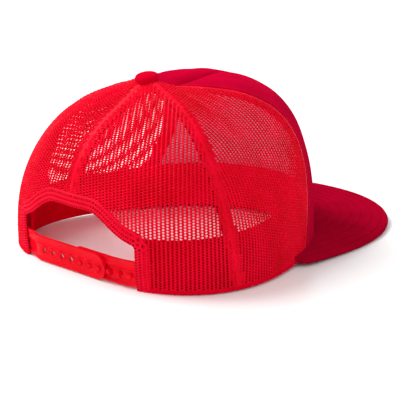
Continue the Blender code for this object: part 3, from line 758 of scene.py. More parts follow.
def knit_plan(random):
    """Flat knitting: its points, their depths, the corners of its cells and the cells' middles."""
    columns, levels = np.arange(-WALE_REACH, WALE_REACH + 1), np.arange(KNIT_LEVELS)
    column, level = np.meshgrid(columns, levels, indexing="ij")
    even = (column + level) % 2 == 0
    zigzag = np.where(even, WALE_ZIGZAG, -WALE_ZIGZAG)
    wale = np.stack((column * WALE_PITCH + zigzag, level * HALF_ROW), -1)
    crossing = np.stack(((column + 0.5) * WALE_PITCH, level * HALF_ROW), -1)
    flat = np.concatenate((wale.reshape(-1, 2), crossing.reshape(-1, 2)))
    flat += random.uniform(-YARN_UNEVENNESS, YARN_UNEVENNESS, flat.shape)
    depth = np.concatenate((np.where(even, *WALE_DEPTHS).ravel(), np.full(even.size, CROSSING_DEPTH)))
    depth += random.uniform(-YARN_UNEVENNESS, YARN_UNEVENNESS, depth.shape)
    # A cell has three points on either wale beside it, and one on the crossing at each of its ends.
    i, j = np.meshgrid(np.arange(len(columns) - 1), np.arange((len(levels) - 3) // 2), indexing="ij")
    i, row = i.ravel(), (2 * j + i % 2).ravel()
    left = i * len(levels) + row
    right, crossed = left + len(levels), left + even.size
    cells = np.stack((left, crossed, right, right + 1, right + 2, crossed + 2, left + 2, left + 1), -1)
    return flat, depth, cells, np.stack(((columns[i] + 0.5) * WALE_PITCH, (row + 1) * HALF_ROW), -1)


def choose_cells(side, near, far, middles):
    """Which cells lie on a panel, and which of them are in its doubled cloth."""
    angle, rise, moved = between_seams(near, far, middles)
    points = crown_point(side * angle, rise)
    reach = axis_distance(angle, rise)
    keep = (moved == 0.0) & (points[..., 2] > panel_hem(angle)) & (rise < MESH_TOP_RISE)
    keep &= (reach > MESH_TOP_RADIUS) & (outside_arch(points) > BINDING_MESH_INSET)
    doubled = (seam_gap(near, far, angle, rise) < SEAM_BAND) | (reach < TOP_BAND)
    return keep, doubled | (points[..., 2] < HEM_BAND)


def knit_faces(cells, holed, through, count):
    """Faces of a panel's front, back, edges and holes. Holes that aren't through end in pits."""
    rings, through = cells[holed], through[holed]
    holes = 2 * count + np.arange(rings.size).reshape(rings.shape)
    shoulders = holes + rings.size
    quads = np.concatenate((ring_quads(rings, shoulders), ring_quads(shoulders, holes),
                            ring_quads(holes[through], rings[through] + count),
                            edge_walls(cells, count)))
    backs = np.concatenate((cells[~holed], rings[~through]))
    return [*quads.tolist(), *cells[~holed].tolist(), *holes[~through].tolist(),
            *(backs[:, ::-1] + count).tolist()]


def add_mesh_panel(name, side, near, far, material):
    """A panel of knitted mesh: every hole is real, and the wales stand out as upright ridges.

    Beside the seams, at the hem and round the button the cloth is doubled, so the holes end in pits.
    """
    flat, depth, cells, middles = knit_plan(np.random.default_rng(len(name)))
    keep, doubled = choose_cells(side, near, far, middles)
    cells, middles, doubled = cells[keep], middles[keep], doubled[keep]
    moved = np.abs(between_seams(near, far, flat)[2])
    holed = moved[cells].max(axis=1) < SOLID_MARGIN
    used, corners = np.unique(cells, return_inverse=True)
    cells, flat, depth = corners.reshape(cells.shape), flat[used], depth[used]

    def solid(places, depth):
        """Points on the panel, drawn in along its seams."""
        angle, rise, _ = between_seams(near, far, places)
        valley = SEAM_VALLEY * hump(seam_gap(near, far, angle, rise), SEAM_VALLEY_WIDTH)
        return crown_point(side * angle, rise, depth + valley)

    turns = np.radians(np.arange(-135, 181, 45))
    ellipse = np.stack((np.cos(turns), np.sin(turns)), -1) * HOLE_HALF_SIZE
    hole = middles[holed][:, None, :] + ellipse[None]
    shoulder = (1.0 - SHOULDER_SHARE) * flat[cells[holed]] + SHOULDER_SHARE * hole
    points = (solid(flat, depth), solid(flat, MESH_THICKNESS - 0.5 * depth),
              solid(hole.reshape(-1, 2), HOLE_DEPTH), solid(shoulder.reshape(-1, 2), SHOULDER_DEPTH))
    faces = knit_faces(cells, holed, ~doubled, len(flat))
    if side < 0.0:
        faces = [face[::-1] for face in faces]
    piece = add_piece(name, np.concatenate(points), faces, [material])
    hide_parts(name.replace("knit", "mesh"))


# ---------------------------------------------------------------- other crown pieces

def crown_rows(angle_at, shares, rows, hem, top_radius):
    """Angles and rises of rows of points from a hem to near the apex."""
    shares = np.asarray(shares, float)[None, :]
    climb = np.linspace(0.0, 1.0, rows)[:, None]
    rise = np.zeros((rows, shares.size))
    for _ in range(HEM_PASSES):
        angle = angle_at(shares, rise)
        bottom = rise_at_height(angle, hem(angle))
        top = rise_at_radius(angle, top_radius)
        rise = bottom + (top - bottom) * climb
    return angle, rise


def add_foam_panel(face, lining):
    """The foam front panel, crowned between its two sunken seams and creased at the top."""
    def angle_at(share, rise):
        edge = seam_angle(FRONT_SEAM, rise)
        return share * (edge - SEAM_CLEARANCE / safe_reach(edge, rise))

    shares = np.sin(np.linspace(-0.5 * math.pi, 0.5 * math.pi, FOAM_COLUMNS))
    angle, rise = crown_rows(angle_at, shares, FOAM_ROWS, panel_hem, FOAM_TOP_RADIUS)
    reach = axis_distance(angle, rise)
    seam = seam_angle(FRONT_SEAM, rise)
    valley = FOAM_VALLEY[0] * hump(reach * (seam - np.abs(angle)), FOAM_VALLEY[1])
    full = ease(np.abs(angle) / seam, FOAM_EDGE_SHARE, FOAM_FULL_SHARE) * ease(reach, *FOAM_FADE_RADII)
    thickness = MESH_THICKNESS + (FOAM_THICKNESS - MESH_THICKNESS) * full
    piece = add_shell("foam_front", crown_point(angle, rise, valley),
                      crown_point(angle, rise, valley + thickness), [face, lining],
                      inner_material=1)
    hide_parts("front_foam_panel")


def seam_strip(side, seam, half_width, columns, rows):
    """Angles and rises of a strip of points along a seam, and its columns' shares of the half width."""
    def angle_at(share, rise):
        reach = safe_reach(seam[0], rise)
        half = np.minimum(half_width, TAPE_TOP_SPREAD * reach)
        return side * seam_angle(seam, rise) + share * half / reach

    shares = np.linspace(-1.0, 1.0, columns)
    hem = panel_hem if seam is not BACK_SEAM else lambda angle: np.full(angle.shape, BACK_SEAM_LOW)
    angle, rise = crown_rows(angle_at, shares, rows, hem, TAPE_TOP_RADIUS)
    return angle, rise, shares[None, :]


def add_tape(name, side, seam, material):
    """A woven tape over a seam's inside, with rounded edges."""
    angle, rise, share = seam_strip(side, seam, TAPE_HALF_WIDTH, TAPE_COLUMNS, TAPE_ROWS)
    rounding = TAPE_ROUNDING * np.abs(share) ** 4
    rib = TAPE_RIB * np.cos(4.0 * math.pi * share)
    outer = crown_point(angle, rise, TAPE_DEPTHS[0] + rounding)
    inner = crown_point(angle, rise, TAPE_DEPTHS[1] - rounding + rib)
    piece = add_shell(name, outer, inner, [material])
    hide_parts(name.replace("tape_", "seam_tape_") if "back" not in name else "back_seam_tape")
    return piece


def add_welt(name, side, seam, material):
    """The narrow ridge where two panels' edges meet, ribbed by its overlocking."""
    angle, rise, share = seam_strip(side, seam, WELT_HALF_WIDTH, WELT_COLUMNS, WELT_ROWS)
    rib = 1.0 + WELT_RIB * np.sin(0.5 * math.pi * np.arange(WELT_ROWS))[:, None]
    ridge = WELT_HEIGHT * np.sqrt(1.0 - share ** 2) * rib
    piece = add_shell(name, crown_point(angle, rise, WELT_FOOT - ridge),
                      crown_point(angle, rise, MESH_THICKNESS), [material])
    return piece


def seam_rows(side, seam):
    """The rows of stitches on both sides of a seam, outside and inside, from the hem to the button."""
    rise = np.linspace(0.0, 1.0, SEAM_STITCH_STEPS)
    middle = seam_angle(seam, rise)
    reach = safe_reach(middle, rise)
    rows = []
    for offset in SEAM_STITCH_OFFSETS:
        angle = side * (middle + offset / reach)
        low = panel_hem(angle[:1])[0] + BILL_TUCK + SEAM_STITCH_GAP
        if seam is BACK_SEAM:
            low = BACK_STITCH_LOW
        keep = (reach > SEAM_STITCH_RADIUS) & (bare_point(angle, rise)[..., 2] > low)
        rows += [crown_stitches(angle[keep], rise[keep], depth) for depth in SEAM_STITCH_DEPTHS]
    return rows


def add_sweatband(material, thread):
    """The band around the head, gently rounded, with a rolled upper edge and two rows of stitches."""
    share = np.linspace(0.0, 1.0, SWEATBAND_ROWS)[:, None]
    angle = np.linspace(-SWEATBAND_END, SWEATBAND_END, SWEATBAND_COLUMNS)[None, :]
    angle, share = np.broadcast_arrays(angle, share)
    front = ease(np.abs(angle), *SWEATBAND_FRONT_ANGLES)
    depth = SWEATBAND_DEPTH + SWEATBAND_FRONT_EXTRA * front + SWEATBAND_LEAN * share
    height = SWEATBAND_HEIGHT * share
    rise = rise_at_height(angle, height)
    groove, place, width = SWEATBAND_GROOVE
    swell = SWEATBAND_SWELL * np.sin(math.pi * share) ** 0.5 - groove * hump(height - place, width)
    size, waves, slant = SWEATBAND_RIPPLE
    ripple = size * np.sin(waves * angle + slant * share) * np.sin(math.pi * share)
    face = SWEATBAND_THICKNESS + swell
    grids = []
    for offset in (SWEATBAND_GAP, face + ripple):
        points = crown_point(angle, rise, depth + offset)
        points[..., 2] = height
        grids.append(points)
    piece = add_shell("sweatband_cloth", *grids, [material])
    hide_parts("sweatband")
    rows = []
    for row in SWEATBAND_STITCH_ROWS:
        points = crown_point(angle[row], rise[row], depth[row] + face[row] + STITCH_LIFT)
        points[:, 2] = height[row]
        rows.append(stitch_row(points, -crown_normal(angle[row], rise[row])))
    add_stitches("sweatband_stitches", rows, thread)


def add_rim_edge(name, side, material):
    """The rolled lower edge of the mesh, from the bill to the rear opening."""
    end = float(bisect(lambda angle: ARCH_HALF_WIDTH + 0.5 * BINDING_WIDTH - rim_point(angle)[0],
                       0.5 * math.pi, math.pi))
    angle = side * np.linspace(BILL_ROOT_ANGLE, end, RIM_EDGE_COLUMNS)[::int(side)][None, :]
    share = np.linspace(0.0, 1.0, RIM_EDGE_ROWS)[:, None]
    half = RIM_EDGE_HALF_THICKNESS * np.sqrt(np.maximum(1.0 - (2.0 * share - 1.0) ** 4, RIM_EDGE_LEAST))
    rise = rise_at_height(angle, RIM_EDGE_HEIGHT * share)
    piece = add_shell(name, crown_point(angle, rise, RIM_EDGE_MIDDLE - half),
                      crown_point(angle, rise, RIM_EDGE_MIDDLE + half), [material])
    return piece


# ---------------------------------------------------------------- rear opening

def arch_height(x):
    """Height of the rear opening's edge, shouldered at its ends and round at its middle."""
    part = ease(1.0 - np.abs(x) / ARCH_HALF_WIDTH, 0.0, ARCH_SHOULDER_SPAN)
    return ARCH_SHOULDER + (ARCH_APEX - ARCH_SHOULDER) * part


def arch_edge():
    """The opening's edge as (x, z) points, with its two upper corners rounded."""
    inner, low = ARCH_HALF_WIDTH - ARCH_CORNER, ARCH_SHOULDER - ARCH_CORNER
    left = [(-ARCH_HALF_WIDTH, 0.0), (-ARCH_HALF_WIDTH, low)]
    for turn in np.linspace(math.pi, 0.5 * math.pi, ARCH_CORNER_STEPS)[1:]:
        left.append((-inner + ARCH_CORNER * math.cos(turn), low + ARCH_CORNER * math.sin(turn)))
    top = [(x, float(arch_height(x))) for x in np.linspace(-inner, inner, ARCH_STEPS)[1:-1]]
    return left + top + [(-x, z) for x, z in reversed(left)]


def binding_lines():
    """The opening's edge, evenly stepped, with its outward direction at each step."""
    edge = np.array(arch_edge())
    even = np.linspace(0.0, path_length(edge)[-1], BINDING_COLUMNS)
    line = resample(edge, BINDING_COLUMNS)
    ahead = np.gradient(line, axis=0)
    for _ in range(BINDING_SMOOTHING):
        ahead[1:-1] = (ahead[:-2] + ahead[1:-1] + ahead[2:]) / 3.0
    ahead /= np.linalg.norm(ahead, axis=-1, keepdims=True)
    return line, np.stack((-ahead[:, 1], ahead[:, 0]), -1), even


def knit_relief(across, up):
    """Depth of a doubled knit: a pit at each closed hole, between rounded wales."""
    column = np.floor(across / WALE_PITCH)
    shifted = up / HALF_ROW - np.mod(column, 2.0)
    to_side = across - (column + 0.5) * WALE_PITCH
    to_row = HALF_ROW * (np.mod(shifted, 2.0) - 1.0)
    pit = np.exp(-((to_side / PIT_HALF_SIZE[0]) ** 2 + (to_row / PIT_HALF_SIZE[1]) ** 2) ** 2)
    wale = WALE_HEIGHT * np.cos(2.0 * math.pi * across / WALE_PITCH)
    return PIT_DEPTH * pit - wale


def add_binding(material, thread):
    """The folded mesh edge of the rear opening, knitted through and stitched twice."""
    line, outward, even = binding_lines()
    share = np.linspace(0.0, 1.0, BINDING_ROWS)
    offset = BINDING_WIDTH * (share - BINDING_BUNCHING * np.sin(2.0 * math.pi * share))
    place = line[None] + offset[:, None, None] * outward[None]
    place[..., 1] = np.maximum(place[..., 1], 0.0)
    angle, rise = surface_over(place[..., 0], place[..., 1])
    round_off = np.clip(offset / BINDING_ROUND, 0.0, 1.0)
    taper, taper_width = BINDING_TAPER
    half = BINDING_HALF_THICKNESS * np.sqrt(1.0 - (1.0 - round_off) ** 2)[:, None]
    half = half * (1.0 - taper * ease(offset, BINDING_WIDTH - taper_width, BINDING_WIDTH))[:, None]
    knit = half * knit_relief(offset[:, None] + BINDING_WALE_SHIFT, even[None, :])
    groove, width = BINDING_STITCH_GROOVE
    sewn = groove * sum(hump(offset - row, width) for row in BINDING_STITCH_ROWS)[:, None]
    piece = add_shell("arch_binding_cloth", crown_point(angle, rise, BINDING_MIDDLE - half + sewn + knit),
                      crown_point(angle, rise, BINDING_MIDDLE + half - sewn - knit), [material],
                      uv=np.stack(np.broadcast_arrays(even[None, :], offset[:, None]), -1))
    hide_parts("arch_binding")
    nearest = [int(np.argmin(np.abs(offset - row))) for row in BINDING_STITCH_ROWS]
    rows = [crown_stitches(angle[row], rise[row], depth)
            for row in nearest for depth in BINDING_STITCH_DEPTHS]
    add_stitches("arch_binding_stitches", rows, thread)
    return piece


# ---------------------------------------------------------------- bill

def bill_curve(turn, inset=0.0):
    """A line parallel to the bill's edge, at turns from straight ahead."""
    ahead = np.abs(turn) <= 0.5 * math.pi
    power = 2.0 / np.where(ahead, BILL_FRONT_POWER, BILL_BACK_POWER)
    reach = np.where(ahead, BILL_TIP_Y + inset, BILL_BACK_Y) - BILL_WIDEST_Y
    x = (BILL_HALF_WIDTH - inset) * np.sign(np.sin(turn)) * np.abs(np.sin(turn)) ** power
    return np.stack((x, BILL_WIDEST_Y + reach * np.abs(np.cos(turn)) ** power), -1)


def bill_outline(count):
    """The bill's outer edge from the right corner round the tip to the left corner."""
    half = bill_curve(np.linspace(0.0, 0.5 * math.pi + BILL_CORNER_TURN, BILL_CURVE_STEPS))
    return resample(np.concatenate((half[:0:-1] * (-1.0, 1.0), half)), count)


def bill_root(count):
    """The bill's inner edge, tucked in under the crown."""
    angle = np.linspace(-BILL_ROOT_ANGLE, BILL_ROOT_ANGLE, BILL_ROOT_STEPS)
    line = np.stack(rim_point(angle), -1)
    length = np.linalg.norm(line, axis=-1, keepdims=True)
    return resample(line * (length - BILL_ROOT_DEPTH) / length, count)


def bill_inset(x, y):
    """How far places on the bill lie inside its edge, in lines parallel to the edge."""
    length = BILL_WIDEST_Y - BILL_TIP_Y
    ahead = np.maximum(BILL_WIDEST_Y - y, 0.0)

    def beyond(inset):
        across = np.abs(x) / (BILL_HALF_WIDTH - inset)
        return across ** BILL_FRONT_POWER + (ahead / (length - inset)) ** BILL_FRONT_POWER - 1.0

    return bisect(beyond, np.zeros(np.shape(x)), np.full(np.shape(x), BILL_HALF_WIDTH - 1.0))


def bill_groove(x, y):
    """How far the cover is drawn in along its rows of stitches."""
    inset = bill_inset(x, y)
    depth, width = BILL_GROOVE
    return depth * sum(hump(inset - row, width) for row in BILL_STITCH_INSETS)


def add_bill_cover(name, node, under, material):
    """One face of the bill's fabric, rounded over the edge and quilted by its stitches."""
    start, end = bill_root(BILL_COLUMNS), bill_outline(BILL_COLUMNS)
    length = np.linalg.norm(end - start, axis=-1)
    radius = 0.5 * BILL_THICKNESS
    turns = np.linspace(0.5 * math.pi, 0.0, BILL_EDGE_STEPS)
    flat_share = np.linspace(0.0, 1.0, BILL_ROWS)[:-1, None] * (1.0 - radius / length)[None, :]
    edge_share = 1.0 - radius * (1.0 - np.cos(turns))[:, None] / length[None, :]
    share = np.concatenate((flat_share, edge_share))
    drop = np.concatenate((np.zeros(BILL_ROWS - 1), radius * (1.0 - np.sin(turns))))[:, None]
    place = start[None] + (end - start)[None] * share[..., None]
    x, y = place[..., 0], place[..., 1]
    groove = bill_groove(x, y) * (drop <= 0.0)
    top = bill_top(x, y)
    grids = []
    for thickness in (0.0, BILL_COVER):
        sunk = drop + groove + thickness * (drop < radius)
        z = top - BILL_THICKNESS + sunk if under else top - sunk
        grids.append(np.stack((x, y, z), -1))
    if under:
        grids.reverse()
    piece = add_shell(name, *grids, [material], uv=place)
    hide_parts(node)


def bill_stitches(under):
    """Rows of stitches parallel to the bill's edge, ending at the crown."""
    side, stop = (-1.0, BILL_STITCH_STOPS[1]) if under else (1.0, BILL_STITCH_STOPS[0])
    back = np.linspace(BILL_STITCH_BACK, BILL_WIDEST_Y, BILL_STITCH_BACK_STEPS)[:-1]
    rows = []
    for inset in BILL_STITCH_INSETS:
        front = bill_curve(np.linspace(-0.5 * math.pi, 0.5 * math.pi, BILL_STITCH_STEPS), inset)
        right, left = [np.stack((np.full(back.shape, x), back), -1) for x in front[[0, -1], 0]]
        x, y = np.concatenate((right, front, left[::-1])).T
        keep = np.hypot(x, y) > rim_radius(np.arctan2(x, -y)) + stop
        x, y = x[keep], y[keep]
        face = bill_top(x, y) - (BILL_THICKNESS if under else 0.0)
        z = face - side * (BILL_GROOVE[0] - STITCH_LIFT)
        points = resample(np.stack((x, y, z), -1), BILL_STITCH_STEPS)
        rows.append(stitch_row(points, np.broadcast_to((0.0, 0.0, side), points.shape)))
    return rows


# ---------------------------------------------------------------- button

def add_button(material):
    """A fabric-covered dome, drawn into small puckers round its foot."""
    wide, high = BUTTON_DOME_POWERS
    profile = [(0.0, BUTTON_SKIRT[0][1])]
    profile += [(BUTTON_RADIUS - inside, height) for inside, height in BUTTON_SKIRT]
    for turn in np.linspace(0.5 * math.pi, 0.0, BUTTON_RINGS)[:-1]:
        height = BUTTON_DOME_FOOT + (BUTTON_HEIGHT - BUTTON_DOME_FOOT) * math.cos(turn) ** high
        profile.append((BUTTON_RADIUS * math.sin(turn) ** wide, height))
    profile.append((0.0, BUTTON_HEIGHT))
    points, faces = lathe(profile, BUTTON_SIDES)
    around = np.arctan2(points[:, 1], points[:, 0])
    size, count, foot, spread = BUTTON_PUCKERS
    wobble, waves, phase = BUTTON_WOBBLE
    pucker = size * hump(points[:, 2] - foot, spread) * np.sin(count * around)
    points[:, :2] *= (1.0 + pucker + wobble * np.sin(waves * around + phase))[:, None]
    place = turned(points, -BUTTON_TILT, (0.0, APEX_Y, CROWN_HEIGHT))
    piece = add_piece("button_cloth", place, faces, [material], uv=points[:, :2])
    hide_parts("button_cap")


# ---------------------------------------------------------------- snap straps

def rim_back_y(x):
    """The rim's y at the back, over a place across it."""
    x = np.abs(np.asarray(x, float))
    angle = bisect(lambda a: x - rim_point(a)[0], np.full(x.shape, BACK_HALF_START),
                   np.full(x.shape, math.pi))
    return rim_point(angle)[1]


def strap_point(x, z, offset, overlapping):
    """Points of a strap in the cap frame, an offset outward from its middle plane."""
    depth = np.full(np.shape(x), STRAP_ROOT_DEPTH)
    if overlapping:
        depth = SOCKET_DEPTH + (depth - SOCKET_DEPTH) * ease(np.abs(x), *SOCKET_BEND_X)
    root_y = float(rim_back_y(STRAP_ROOT_X))
    reach = np.clip(np.abs(x), STRAP_FLAT_X, STRAP_JOIN_X[1])
    y = rim_back_y(reach) - root_y - depth + offset
    loose = turned(np.stack(np.broadcast_arrays(x, y, z), -1), -STRAP_LEAN, (0.0, root_y, 0.0))
    angle, rise = surface_over(x, z)
    sewn = crown_point(angle, rise, STRAP_ROOT_DEPTH - offset)
    return loose + (sewn - loose) * ease(np.abs(x), *STRAP_JOIN_X)[..., None]


def strap_relief(x, z, low, high, end, holes):
    """Height of a strap's moulded front: a raised rim, a recessed channel and rings at the holes."""
    rim, rim_width = STRAP_RIM
    ridge, ridge_z, ridge_width = STRAP_RIDGE
    channel, gap, channel_top = STRAP_CHANNEL
    ring, ring_radius, ring_width = STRAP_RING
    from_end = np.abs(x - end)
    inside = np.minimum(np.minimum(z - low, high - z), from_end)
    relief = rim * (1.0 - ease(inside, rim_width, rim_width + STRAP_FADE))
    relief = relief + ridge * hump(z - ridge_z, ridge_width)
    sunk = ease(z - low, gap, gap + STRAP_FADE) * ease(z, channel_top, channel_top - STRAP_FADE)
    relief = relief - channel * sunk * ease(from_end, gap, gap + STRAP_FADE)
    for hole in holes:
        distance = np.hypot(x - hole, z - STRAP_HOLE_Z)
        relief = relief + ring * hump(distance - ring_radius, ring_width)
    return relief


def strap_patch(root_x, end_x, holes):
    """A strap's flat shape with its holes: x, z, the edges below and above each point, and quads."""
    count = int(abs(end_x - root_x) / STRAP_GRID) + 1
    x = np.linspace(root_x, end_x, count)
    into_end = np.clip((STRAP_END_RADIUS - np.abs(x - end_x)) / STRAP_END_RADIUS, 0.0, 1.0)
    cut = STRAP_END_RADIUS * (1.0 - np.sqrt(1.0 - into_end ** 2))
    share = np.linspace(0.0, 1.0, STRAP_ROWS)[:, None]
    grids = np.broadcast_arrays(x, STRAP_BOTTOM + cut, STRAP_TOP - cut, share)
    x, low, high, share = [grid.ravel().copy() for grid in grids]
    z = low + (high - low) * share
    quads = grid_quads(STRAP_ROWS, count)
    if end_x < root_x:
        quads = quads[:, ::-1]
    for hole in holes:
        centre_x, centre_z = x[quads].mean(axis=1), z[quads].mean(axis=1)
        inside = np.hypot(centre_x - hole, centre_z - STRAP_HOLE_Z) < SOCKET_RADIUS
        edge = np.intersect1d(quads[inside].ravel(), quads[~inside].ravel())
        away = np.hypot(x[edge] - hole, z[edge] - STRAP_HOLE_Z)
        x[edge] = hole + (x[edge] - hole) * SOCKET_RADIUS / away
        z[edge] = STRAP_HOLE_Z + (z[edge] - STRAP_HOLE_Z) * SOCKET_RADIUS / away
        quads = quads[~inside]
    used, quads = np.unique(quads, return_inverse=True)
    return x[used], z[used], low[used], high[used], quads.reshape(-1, 4)


def add_strap(name, nodes, root_x, end_x, holes, material, studs=()):
    """One strap with its sewn end, moulded front, holes and studs, turning at its root."""
    overlapping = end_x < root_x
    half = 0.5 * STRAP_THICKNESS
    x, z, low, high, quads = strap_patch(root_x, end_x, holes)
    relief = strap_relief(x, z, low, high, end_x, [*holes, *studs])
    collar = sum(np.exp(-(np.hypot(x - hole, z - STRAP_HOLE_Z) / SOCKET_COLLAR_RADIUS) ** 6)
                 for hole in holes)
    points = [strap_point(x, z, half + relief - STRAP_FACE_SINK, overlapping),
              strap_point(x, z, -half - SOCKET_COLLAR * collar, overlapping)]
    # Seen from behind the cap x runs to the left, so a patch that faces out has its columns reversed.
    faces = thicken(quads[:, ::-1], len(x)).tolist()
    start = 2 * len(x)
    ring, ring_faces = lathe(STUD_PROFILE, STUD_SIDES)
    for stud in studs:
        points.append(strap_point(stud + ring[:, 0], STRAP_HOLE_Z + ring[:, 1], ring[:, 2] + half,
                                  overlapping))
        faces += [[start + corner for corner in face] for face in ring_faces]
        start += len(ring)
    piece = add_piece(name, np.concatenate(points), faces, [material], body=None)
    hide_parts(*nodes)
    side = 1.0 if root_x > 0.0 else -1.0
    ends = [world(strap_point(np.array([side * reach]), np.array([STRAP_BLEND_Z]), 0.0, overlapping)[0])
            for reach in STRAP_BLEND_X]
    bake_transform(piece)


# ---------------------------------------------------------------- materials

class Nodes:
    """A material's nodes, made and joined with short calls."""

    def __init__(self, name, colour, roughness, sheen=0.0, coat=0.0, gloss=CLOTH_GLOSS):
        self.material = bpy.data.materials.new(name)
        self.material.use_nodes = True
        self.tree = self.material.node_tree
        self.shader = self.tree.nodes["Principled BSDF"]
        self.shader.inputs["Base Color"].default_value = (*colour, 1.0)
        self.shader.inputs["Roughness"].default_value = roughness
        self.shader.inputs["Sheen Weight"].default_value = sheen
        self.shader.inputs["Sheen Tint"].default_value = (*SHEEN_TINT, 1.0)
        self.shader.inputs["Specular IOR Level"].default_value = gloss
        self.shader.inputs["Coat Weight"].default_value = coat
        self.material.diffuse_color = (*colour, 1.0)

    def add(self, kind, **settings):
        """A node with its properties set."""
        node = self.tree.nodes.new(kind)
        for key, value in settings.items():
            setattr(node, key, value)
        return node

    def link(self, output, target):
        """Join an output to an input, or set the input to a plain value."""
        if isinstance(output, bpy.types.NodeSocket):
            self.tree.links.new(output, target)
        else:
            target.default_value = output

    def math(self, operation, first, second=0.0):
        """The result of a Math node."""
        node = self.add("ShaderNodeMath", operation=operation)
        self.link(first, node.inputs[0])
        self.link(second, node.inputs[1])
        return node.outputs[0]

    def noise(self, scale, detail=3.0, source="Object"):
        """A noise value over the object's own coordinates."""
        coordinates = self.add("ShaderNodeTexCoord")
        node = self.add("ShaderNodeTexNoise")
        node.inputs["Scale"].default_value = scale
        node.inputs["Detail"].default_value = detail
        self.link(coordinates.outputs[source], node.inputs["Vector"])
        return node.outputs["Fac"]

    def cloth_uv(self):
        """The cloth's own two directions, in millimetres."""
        node = self.add("ShaderNodeUVMap", uv_map="cloth")
        split = self.add("ShaderNodeSeparateXYZ")
        self.link(node.outputs[0], split.inputs[0])
        return split.outputs[0], split.outputs[1]

    def threads(self, pitch, twill=0.0):
        """Height of a woven cloth of a thread pitch, in millimetres. twill slants it."""
        across, up = self.cloth_uv()
        slanted = self.math("ADD", across, self.math("MULTIPLY", up, twill))
        warp = self.math("SINE", self.math("MULTIPLY", slanted, 2.0 * math.pi / pitch))
        weft = self.math("SINE", self.math("MULTIPLY", up, 2.0 * math.pi / pitch))
        return self.math("ADD", self.math("MULTIPLY", warp, 0.5), self.math("MULTIPLY", weft, 0.5))

    def knit_holes(self):
        """Where painted shade goes: near 1 over the binding's closed holes and below 0 between them."""
        even, offset = self.cloth_uv()
        along = self.math("COSINE", self.math("MULTIPLY", even, math.pi / HALF_ROW))
        column = self.math("SUBTRACT", offset, 0.5 * WALE_PITCH - BINDING_WALE_SHIFT)
        across = self.math("COSINE", self.math("MULTIPLY", column, math.pi / WALE_PITCH))
        return self.math("MULTIPLY", self.math("MULTIPLY", along, across), -1.0)

    def colour(self):
        """The output that colours the shader so far."""
        return self.shader.inputs["Base Color"].links[0].from_socket

    def remap(self, value, **limits):
        """A value brought from one range to another, each limit named as the node names it."""
        node = self.add("ShaderNodeMapRange")
        for name, limit in limits.items():
            node.inputs[name.replace("_", " ").title()].default_value = limit
        self.link(value, node.inputs["Value"])
        return node.outputs["Result"]

    def tint(self, value, low, high, first, second):
        """Colour the shader between two colours, or from an output to a colour, by a value."""
        mix = self.add("ShaderNodeMix", data_type="RGBA")
        self.link(self.remap(value, from_min=low, from_max=high), mix.inputs[0])
        self.link(first, mix.inputs[6])
        self.link(second, mix.inputs[7])
        self.link(mix.outputs[2], self.shader.inputs["Base Color"])

    def rough(self, value, low, high):
        """Vary the roughness between two limits by a value."""
        self.link(self.remap(value, to_min=low, to_max=high), self.shader.inputs["Roughness"])

    def bump(self, height, strength, distance):
        """Raise the surface by a height, in millimetres at a height of 1."""
        node = self.add("ShaderNodeBump")
        node.inputs["Strength"].default_value = strength
        node.inputs["Distance"].default_value = distance * MM
        self.link(height, node.inputs["Height"])
        self.link(node.outputs[0], self.shader.inputs["Normal"])


def mottle(nodes, scales, share, dark, light):
    """Dye a cloth unevenly, with broad and fine patches, and give back the fine ones."""
    broad, fine = nodes.noise(scales[0]), nodes.noise(scales[1], 2.0)
    patches = nodes.math("ADD", nodes.math("MULTIPLY", broad, share),
                         nodes.math("MULTIPLY", fine, 1.0 - share))
    nodes.tint(patches, *PATCH_LIMITS, (*dark, 1.0), (*light, 1.0))
    return fine


def cloth(name, dark, light, roughness, sheen, pitch, twill=0.0, depth=0.1):
    """A woven cloth: uneven dye, worn patches and its own thread."""
    nodes = Nodes(name, light, roughness, sheen)
    fine = mottle(nodes, CLOTH_PATCHES, CLOTH_BROAD_SHARE, dark, light)
    nodes.rough(fine, roughness - CLOTH_WEAR, roughness + CLOTH_WEAR)
    nodes.bump(nodes.threads(pitch, twill), CLOTH_RELIEF, depth)
    return nodes.material


def yarn(name, dark, light, roughness, sheen=0.3, gloss=YARN_GLOSS, knitted=False):
    """Bare yarn, mottled and slightly hairy, for mesh and thread. knitted paints shade into its closed
    holes.
    """
    nodes = Nodes(name, light, roughness, sheen, gloss=gloss)
    fine = mottle(nodes, YARN_PATCHES, YARN_BROAD_SHARE, dark, light)
    if knitted:
        # Paint shade into the closed holes, which are only shallow pits.
        nodes.tint(nodes.knit_holes(), *HOLE_SHADE_LIMITS, nodes.colour(), (*HOLE_SHADE_COLOUR, 1.0))
    nodes.bump(fine, *YARN_RELIEF)
    return nodes.material


def speckled(name, colour, roughness, speckles, limits, dark, light, marks=None, worn=None, relief=None,
             metallic=0.0, **looks):
    """A surface without a weave: speckled colour, and marks that vary its roughness and relief.

    speckles and marks are the scale and detail of a noise, worn is two roughnesses, and relief is a
    bump's strength and height.
    """
    nodes = Nodes(name, colour, roughness, **looks)
    nodes.shader.inputs["Metallic"].default_value = metallic
    nodes.tint(nodes.noise(*speckles), *limits, (*dark, 1.0), (*light, 1.0))
    if worn:
        nodes.rough(nodes.noise(*marks), *worn)
    if relief:
        nodes.bump(nodes.noise(*marks), *relief)
    return nodes.material


# ---------------------------------------------------------------- studio

